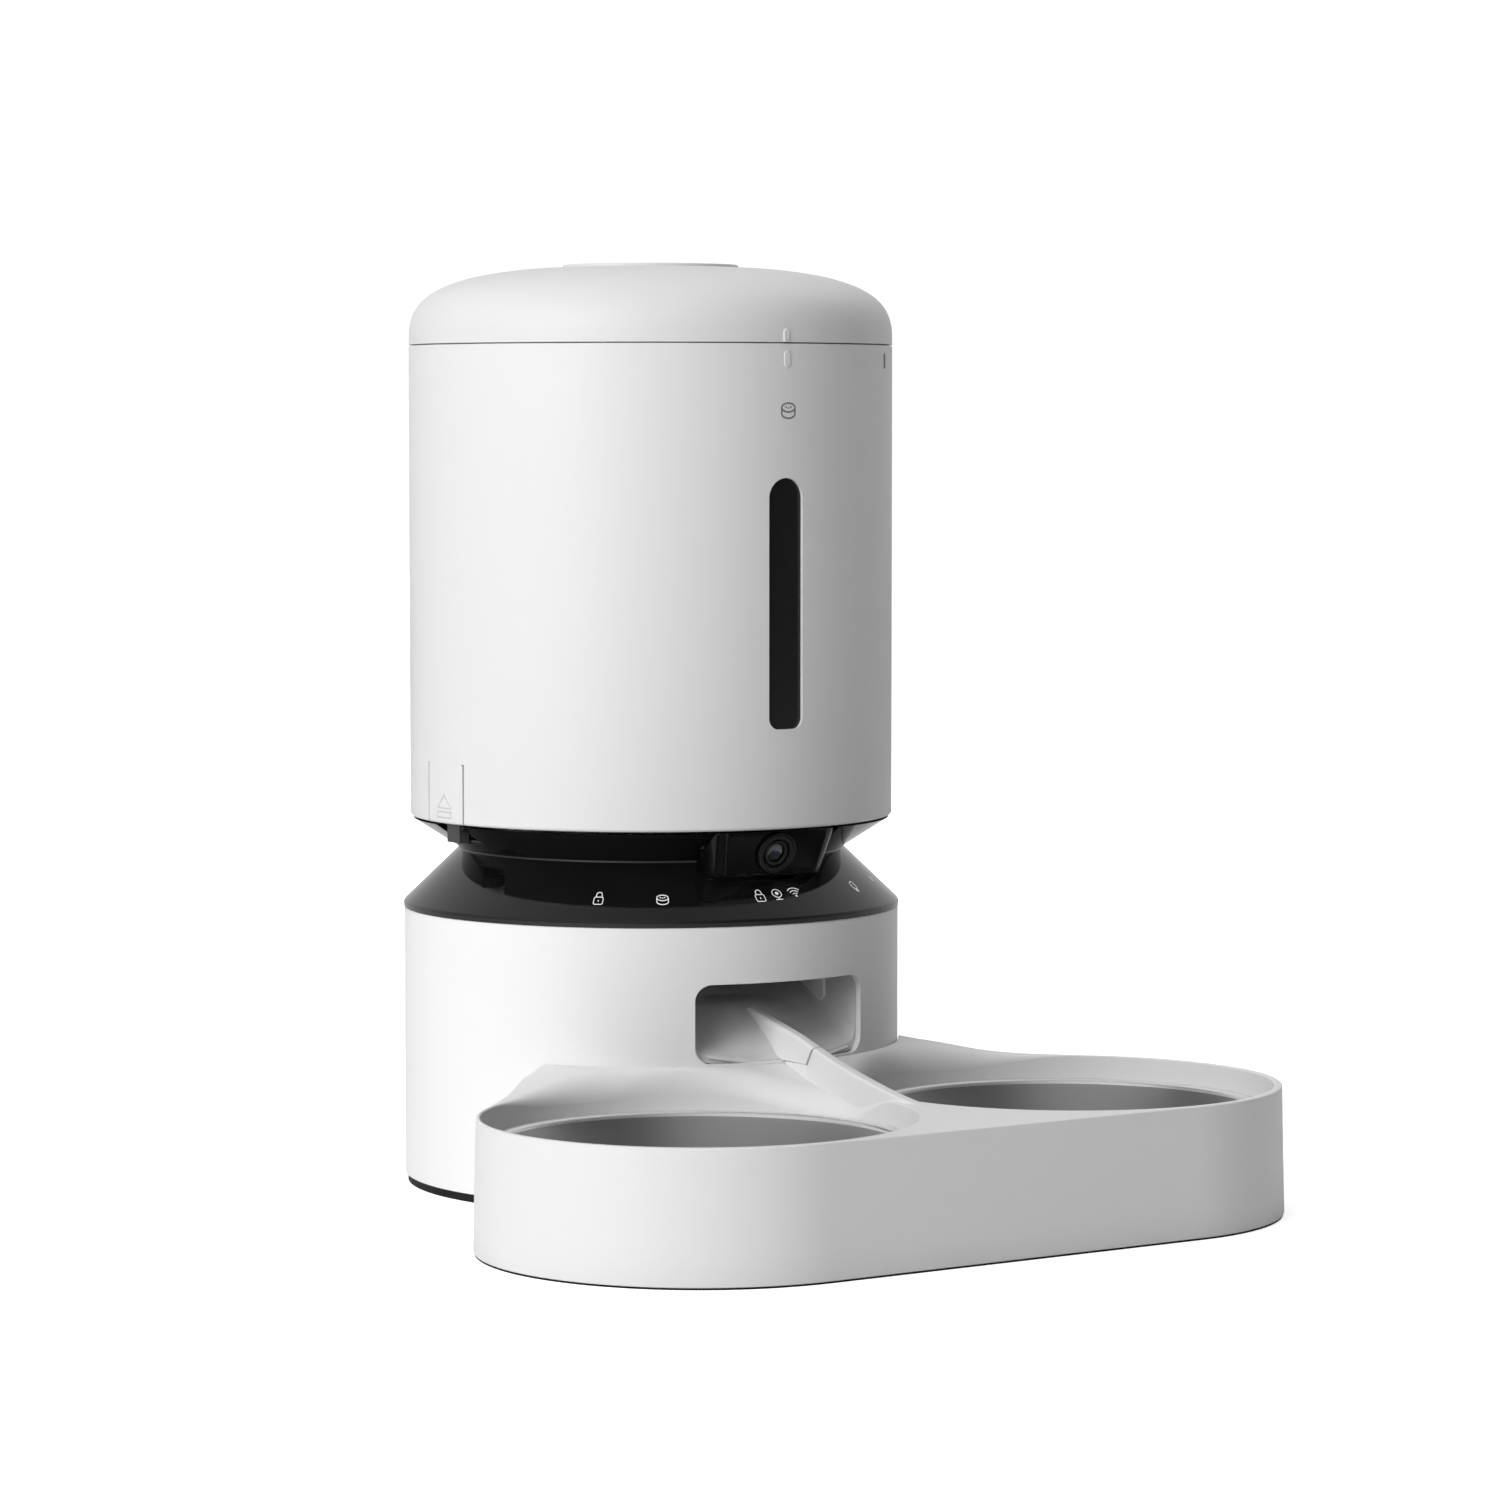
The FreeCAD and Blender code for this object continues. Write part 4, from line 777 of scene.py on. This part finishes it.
# ------------------------------------------------------------------ camera pod
def arc(cu, cv, r, first, last, count=14, squash=1.0):
    """Points on an arc between two angles in degrees, flattened by squash."""
    return [(cu + r * math.cos(math.radians(first + (last - first) * i / count)),
             cv + r * squash * math.sin(math.radians(first + (last - first) * i / count)))
            for i in range(count + 1)]


def pod_section(half, front):
    """Outline of the pod at one height: flat front, round shoulders, straight sides."""
    corner, back = 5.2, -66.0
    points = [(half, back)] + arc(half - corner, front + corner, corner, 0, -90, 8)
    return points + [(-x, y) for x, y in reversed(points)]


def build_pod():
    """The camera's housing; its levels are (height, half width, front)."""
    low, high = (110.4, 21.95, -73.45), (124.6, 24.4, -78.35)
    levels = [(109.4, 21.3, -72.6), (109.75, 21.7, -73.0), low]
    levels += [tuple(a + (b - a) * k / 8 for a, b in zip(low, high)) for k in range(1, 9)]
    levels += [(125.1, 24.4, -78.5), (125.3, 24.1, -78.25)]
    rows = [level(pod_section(half, front), z) for z, half, front in levels]
    made = Builder()
    made.strips(rows, closed=False)
    count = len(rows[0])
    made.add(rows[0], [tuple(range(count))])
    made.add(rows[-1], [tuple(reversed(range(count)))])
    made.finish("camera_pod", pod_black, "base", ["camera_housing"], sharp=35, slot="gloss_black",
                outward=False)


build_pod()

TILT = math.radians(18.7)
LENS_AT = Vector((0.0, -76.3, 117.7))
LENS_OUT = Vector((0.0, -math.cos(TILT), -math.sin(TILT)))
LENS_UP = Vector((0.0, -math.sin(TILT), math.cos(TILT)))


def build_lens_ring(name, look, profile, sharp=None):
    """A ring turned about the lens axis; profile is (radius, how far out)."""
    made = Builder()
    made.strips([[tuple(LENS_AT + LENS_OUT * out + Vector((1, 0, 0)) * u + LENS_UP * v)
                  for u, v in circle(0.0, 0.0, r, 96)] for r, out in profile])
    made.finish(name, look, "base", sharp=sharp, slot="black_plastic")


build_lens_ring("lens_bezel", pod_black,
                [(7.35, 0.0), (7.35, 0.75), (7.2, 1.0), (6.9, 1.08), (6.5, 1.0), (6.2, 0.6),
                 (5.9, 0.1), (5.6, -0.05), (5.3, 0.15), (5.05, 0.1), (4.9, -0.6), (4.85, -1.4)], 50)
build_lens_ring("lens_inner_ring", matt_black,
                [(4.4, 0.55), (4.25, 0.66), (3.9, 0.68), (3.6, 0.55), (3.3, 0.35)])


# ------------------------------------------------------------------ symbols and marks
TANK_R = 82.74
CONE_LOW, CONE_HIGH = (84.75, 96.85), (66.5, 114.5)      # the neck's cone as (radius, height)
DOME = [(286.65, 82.74), (289.4, 82.65), (292.4, 82.3), (295.5, 81.47)]      # (height, radius)
LINE = 0.36


def around(phi, radius, z):
    """A point at an angle (radians, from the front towards +X) and radius about the axis."""
    return (radius * math.sin(phi), -radius * math.cos(phi), z)


def cone_map(phi_center, z_center, lift):
    """(u, v) in mm on the neck's cone about a centre; u around, v up the slope."""
    length = math.hypot(CONE_HIGH[0] - CONE_LOW[0], CONE_HIGH[1] - CONE_LOW[1])
    dr, dz = (CONE_HIGH[0] - CONE_LOW[0]) / length, (CONE_HIGH[1] - CONE_LOW[1]) / length
    base_v = (z_center - CONE_LOW[1]) / dz

    def at(u, v, up=0.0):
        s = base_v + v
        phi = math.radians(phi_center) + u / (CONE_LOW[0] + dr * base_v)
        return around(phi, CONE_LOW[0] + dr * s + (lift + up) * dz,
                      CONE_LOW[1] + dz * s - (lift + up) * dr)
    return at


def wall_map(phi_center, lift=0.0):
    """(u, v) in mm on the tank's wall; u around from an angle, v the height."""
    def at(u, v, up=0.0):
        return around(math.radians(phi_center) + u / TANK_R, TANK_R + lift + up, v)
    return at


def dome_map(phi_center):
    """The same on the lid's side, which curves in."""
    def at(u, v, up=0.0):
        return around(math.radians(phi_center) + u / 82.7, along(DOME, v) + up + 0.16, v)
    return at


def stroke(made, path, width, at, thick=0.06, closed=False):
    """A raised line of even width along a path of (u, v) points."""
    n = len(path)
    left, right = [], []
    for i, (u, v) in enumerate(path):
        if closed:
            before, after = path[i - 1], path[(i + 1) % n]
        else:
            before, after = path[max(0, i - 1)], path[min(n - 1, i + 1)]
        tu, tv = after[0] - before[0], after[1] - before[1]
        size = math.hypot(tu, tv) or 1.0
        nu, nv = -tv / size, tu / size
        fold = 1.0
        if 0 < i < n - 1 or closed:
            a = (u - before[0], v - before[1])
            la = math.hypot(*a) or 1.0
            cosine = abs((a[0] * tu + a[1] * tv) / (la * size))
            fold = min(1.5, 1.0 / max(0.5, cosine))
        left.append((u + nu * width / 2 * fold, v + nv * width / 2 * fold))
        right.append((u - nu * width / 2 * fold, v - nv * width / 2 * fold))
    rows = [[at(*p, -0.02) for p in left], [at(*p, thick) for p in left],
            [at(*p, thick) for p in right], [at(*p, -0.02) for p in right]]
    made.strips(rows, closed=closed)
    if not closed:
        for end in (0, -1):
            made.add([row[end] for row in rows], [(0, 1, 2, 3)])


def ring(cu, cv, r, count=28, squash=1.0):
    return arc(cu, cv, r, 0, 360 - 360 / count, count - 1, squash)


def dot(made, cu, cv, r, at, thick=0.06, count=16):
    points = [at(cu, cv, thick)] + [at(*p, thick) for p in ring(cu, cv, r, count)]
    made.add(points, [(0, 1 + i, 1 + (i + 1) % count) for i in range(count)])


def round_box(cu, cv, w, h, r):
    points = []
    for sx, sy, start in ((1, 1, 0), (-1, 1, 90), (-1, -1, 180), (1, -1, 270)):
        points += arc(cu + sx * (w / 2 - r), cv + sy * (h / 2 - r), r, start, start + 90, 4)
    return points


def padlock(made, at):
    stroke(made, round_box(0, -1.2, 4.6, 3.9, 0.8), LINE, at, closed=True)
    shackle = arc(0, 1.9, 1.45, 180, 0, 12)
    stroke(made, [(-1.45, 0.9), (-1.45, 1.8)] + shackle + [(1.45, 1.8), (1.45, 0.9)], LINE, at)
    stroke(made, [(0, -0.85), (0, -1.7)], LINE, at)


def bowl_symbol(made, at, k=1.0, line=LINE):
    stroke(made, ring(0, 0.85 * k, 2.5 * k, 30, 0.56), line, at, closed=True)
    side = arc(0, -1.1 * k, 2.5 * k, 180, 360, 18, 0.56)
    stroke(made, [(-2.5 * k, 0.7 * k)] + side + [(2.5 * k, 0.7 * k)], line, at)
    for u, v in ((-0.95, 0.95), (0.0, 0.7), (0.95, 0.95)):
        dot(made, u * k, v * k, 0.3 * k, at)


def camera_symbol(made, at):
    stroke(made, ring(0, 0.5, 2.25), LINE, at, closed=True)
    dot(made, 0, 0.5, 0.85, at)
    stroke(made, [(-1.7, -3.0), (1.7, -3.0)], LINE, at)
    stroke(made, [(0, -3.0), (0, -1.8)], LINE, at)


def radio_symbol(made, at):
    for r in (1.6, 3.0, 4.4):
        stroke(made, arc(0, -2.2, r, 45, 135, 12), LINE, at)
    dot(made, 0, -2.1, 0.55, at)


def plug_symbol(made, at):
    stroke(made, round_box(0, 0.7, 2.5, 3.4, 1.1), LINE, at, closed=True)
    for u in (-0.55, 0.55):
        stroke(made, [(u, -1.0), (u, -2.2)], LINE, at)


def lamp_symbol(made, at):
    stroke(made, ring(-0.6, 0, 1.1, 18), LINE, at, closed=True)
    dot(made, 2.0, 0, 0.4, at)


# name, drawing, angle from the front, height, share of the width and of the height
SYMBOLS = [("lock_symbol", padlock, -45.6, 103.6, 0.66, 0.80),
           ("food_symbol", bowl_symbol, -30.0, 103.4, 0.76, 0.86),
           ("lock_state_symbol", padlock, -5.2, 103.7, 0.72, 0.76),
           ("camera_symbol", camera_symbol, -0.1, 103.9, 0.78, 0.76),
           ("radio_symbol", radio_symbol, 5.3, 104.2, 0.80, 0.80),
           ("plug_symbol", plug_symbol, 29.2, 103.6, 1.0, 1.0),
           ("lamp_symbol", lamp_symbol, 45.3, 104.6, 0.9, 0.9)]
for name, draw, phi, z, wide, tall in SYMBOLS:
    made = Builder()
    on_cone = cone_map(phi, z, 0.02)
    draw(made, lambda u, v, up=0.0: on_cone(u * wide, v * tall, up))
    made.finish(name, glowing_symbol_paint, "base", smooth=False, slot="white_plastic")


def build_pictogram():
    """Plain bowl in grey on the tank, in place of any printed mark."""
    made = Builder()
    flat = wall_map(0.5, 0.01)
    bowl_symbol(made, lambda u, v, up=0.0: flat(u, v + 264.3, up * 0.5), 1.05, 0.55)
    made.finish("tank_pictogram", gray_print_and_slot_shade, "tank", smooth=False, slot="black_plastic")


def pill(name, at, width, low, high, look, body, height=0.28, square_foot=False,
         slot="white_plastic"):
    """A raised mark with a soft edge and rounded ends; the lower one can be cut square."""
    half = width / 2
    half_turn = [a * pi / 12 for a in range(13)]
    rows = []
    for inset, up in ((0.0, -0.25), (0.0, height * 0.45), (0.12, height * 0.85),
                      (0.3, height), (0.55, height)):
        r = max(0.05, half - inset)
        loop = [(r * math.cos(a), high - half + r * math.sin(a)) for a in half_turn]
        if square_foot:
            loop += [(-r, low), (r, low)]
        else:
            loop += [(-r * math.cos(a), low + half - r * math.sin(a)) for a in half_turn]
        rows.append([at(u, v, up) for u, v in loop])
    made = Builder()
    made.strips(rows)
    made.add(rows[-1], [tuple(range(len(rows[-1])))])
    made.finish(name, look, body, sharp=60, slot=slot)


build_pictogram()
pill("tank_mark_front", wall_map(0.2), 2.6, 278.4, 283.8, white, "tank")
pill("tank_mark_side", wall_map(40.0), 2.2, 278.3, 283.7, gray_print_and_slot_shade, "tank", 0.1,
     slot="black_plastic")
pill("lid_mark", dome_map(0.0), 2.4, 286.75, 291.15, white, "lid", square_foot=True)


def wall_band(side, first, sweep, steps, section):
    """A band around the tank from an angle on; section is (radius, height)."""
    made = Builder()
    phis = [math.radians(side * (first + sweep * i / steps)) for i in range(steps + 1)]
    made.strips([[around(a, r, z) for a in phis] for r, z in section], closed=False)
    return made


def build_tab_marks(side, label):
    """Painted shade behind the slots beside a release tab (dark strips seen through the gaps), the
    thin hinge at its top and the eject sign on it, grey as painted emboss shade.
    """
    low, high = 126.0, 145.6
    # dark strips behind each slot paint the shade inside the gap
    for number, middle in enumerate((82.0, 97.6)):
        slot = wall_band(side, middle - 0.25, 0.5, 3,
                         [(81.35, low), (81.6, low), (81.6, high), (81.35, high)])
        slot.finish(f"tab_slot_shadow_{label}_{number + 1}", gray_print_and_slot_shade, "tank", smooth=False,
                    slot="black_plastic")
    hinge = wall_band(side, 82.6, 14.4, 24,
                      [(82.0, 145.5), (82.75, 145.5), (82.75, 146.7), (82.0, 146.7)])
    hinge.finish(f"tab_hinge_{label}", white, "tank", sharp=30, slot="white_plastic")
    # the sign's lines are grey to paint the shade of the emboss
    sign = Builder()
    at = wall_map(side * 89.8)
    for path in ([(-4.2, 131.2), (4.2, 131.2), (0.0, 135.7)],
                 [(-4.4, 128.0), (4.4, 128.0), (4.4, 129.9), (-4.4, 129.9)]):
        stroke(sign, path, 0.42, at, 0.16, closed=True)
    sign.finish(f"eject_sign_{label}", sign_emboss_shade, f"release_tab_{label}", smooth=False,
                slot="white_plastic")


build_tab_marks(-1, "left")
build_tab_marks(1, "right")


# ------------------------------------------------------------------ floor, light, camera
def stage_floor():
    """White paper that fades into pure white around the object; the fade is seen, not lit."""
    size = 6.0
    data = bpy.data.meshes.new("floor")
    data.from_pydata([(-size, -size, 0), (size, -size, 0), (size, size, 0), (-size, size, 0)], [],
                     [(0, 1, 2, 3)])
    mat, tree, shader = new_material("floor_paper")
    set_inputs(tree, shader, {"Base Color": (0.85, 0.85, 0.85, 1), "Roughness": 0.9,
                              "Specular IOR Level": 0.1})
    far = add_node(tree, "VectorMath", {0: coordinates(tree)}, operation="LENGTH")
    fade = remap(tree, far.outputs["Value"], 0.60, 1.1, 0.3, 1.0)
    glow = add_node(tree, "Emission", {"Strength": fade})
    both = add_node(tree, "AddShader", {0: shader.outputs[0], 1: glow.outputs[0]})
    seen = add_node(tree, "LightPath", {}).outputs["Is Camera Ray"]
    set_inputs(tree, tree.nodes["Material Output"],
               {0: blend_shaders(tree, seen, shader.outputs[0], both.outputs[0])})
    data.materials.append(mat)
    obj = bpy.data.objects.new("floor", data)
    bpy.context.scene.collection.objects.link(obj)


stage_floor()


def area_light(name, phi, elevation, distance, size, power):
    """A soft box aimed at the object's middle; phi is measured from the front towards +X."""
    data = bpy.data.lights.new(name, "AREA")
    data.shape = "RECTANGLE"
    data.size, data.size_y = size
    data.energy = power
    obj = bpy.data.objects.new(name, data)
    a, e = math.radians(phi), math.radians(elevation)
    goal = Vector((0.0, 0.0, 0.17))
    obj.location = goal + Vector((math.sin(a) * math.cos(e), -math.cos(a) * math.cos(e),
                                  math.sin(e))) * distance
    obj.rotation_euler = (goal - obj.location).to_track_quat("-Z", "Y").to_euler()
    obj.visible_glossy = False
    bpy.context.scene.collection.objects.link(obj)


area_light("key", -65, 27, 2.0, (1.1, 1.7), 15.0)
area_light("key_side", -80, 20, 2.0, (1.1, 1.7), 18.6)
area_light("left_back", -160, 25, 2.0, (1.2, 1.6), 2.7)
area_light("top", -20, 84, 1.6, (1.6, 1.6), 8.5)
area_light("top_back", 150, 50, 2.0, (1.8, 1.2), 9.0)
area_light("right_edge", 112, 18, 2.2, (0.9, 1.6), 4.8)

# direction, where the patch starts and is full (as a cosine), and its power
MIRRORED_PATCHES = [((0.45, 0.85, 0.28), -0.2, 0.95, 0.65), ((-0.90, -0.33, 0.28), 0.25, 1.0, 0.55),
                    ((-0.1, 0.0, 1.0), 0.3, 1.0, 0.12)]


def build_world():
    """White where it is seen, dim where it lights, and a soft gradient where it is mirrored."""
    world = bpy.data.worlds.new("studio")
    bpy.context.scene.world = world
    world.use_nodes = True
    tree = world.node_tree
    tree.nodes.clear()
    strength = 0.14
    for direction, start, full, power in MIRRORED_PATCHES:
        ray = tree.nodes.new("ShaderNodeTexCoord").outputs["Generated"]
        near = add_node(tree, "VectorMath", {0: ray, 1: direction}, operation="DOT_PRODUCT")
        patch = remap(tree, near.outputs["Value"], 0.0, power, start, full,
                      interpolation_type="SMOOTHSTEP")
        strength = math_node(tree, "ADD", patch, strength)
    seen = add_node(tree, "Background", {"Color": (1, 1, 1, 1), "Strength": 1.05}).outputs[0]
    lit = add_node(tree, "Background", {"Strength": 0.165}).outputs[0]
    mirrored = add_node(tree, "Background", {"Strength": strength}).outputs[0]
    rays = add_node(tree, "LightPath", {}).outputs
    unseen = blend_shaders(tree, rays["Is Glossy Ray"], lit, mirrored)
    add_node(tree, "OutputWorld", {0: blend_shaders(tree, rays["Is Camera Ray"], unseen, seen)})


def place_camera():
    """The photo's view."""
    data = bpy.data.cameras.new("camera")
    data.sensor_width = 36.0
    data.lens = 120.4
    data.clip_end = 50.0
    camera = bpy.data.objects.new("camera", data)
    camera.location = (-0.9315, -1.3869, 0.2627)
    look_along = Vector((0.5555, 0.8288, -0.0666))
    camera.rotation_euler = look_along.to_track_quat("-Z", "Y").to_euler()
    bpy.context.scene.collection.objects.link(camera)
    bpy.context.scene.camera = camera


build_world()
place_camera()

view = bpy.context.scene.view_settings
view.view_transform = "Standard"
view.look = "None"
view.exposure = 0.0
view.gamma = 1.0
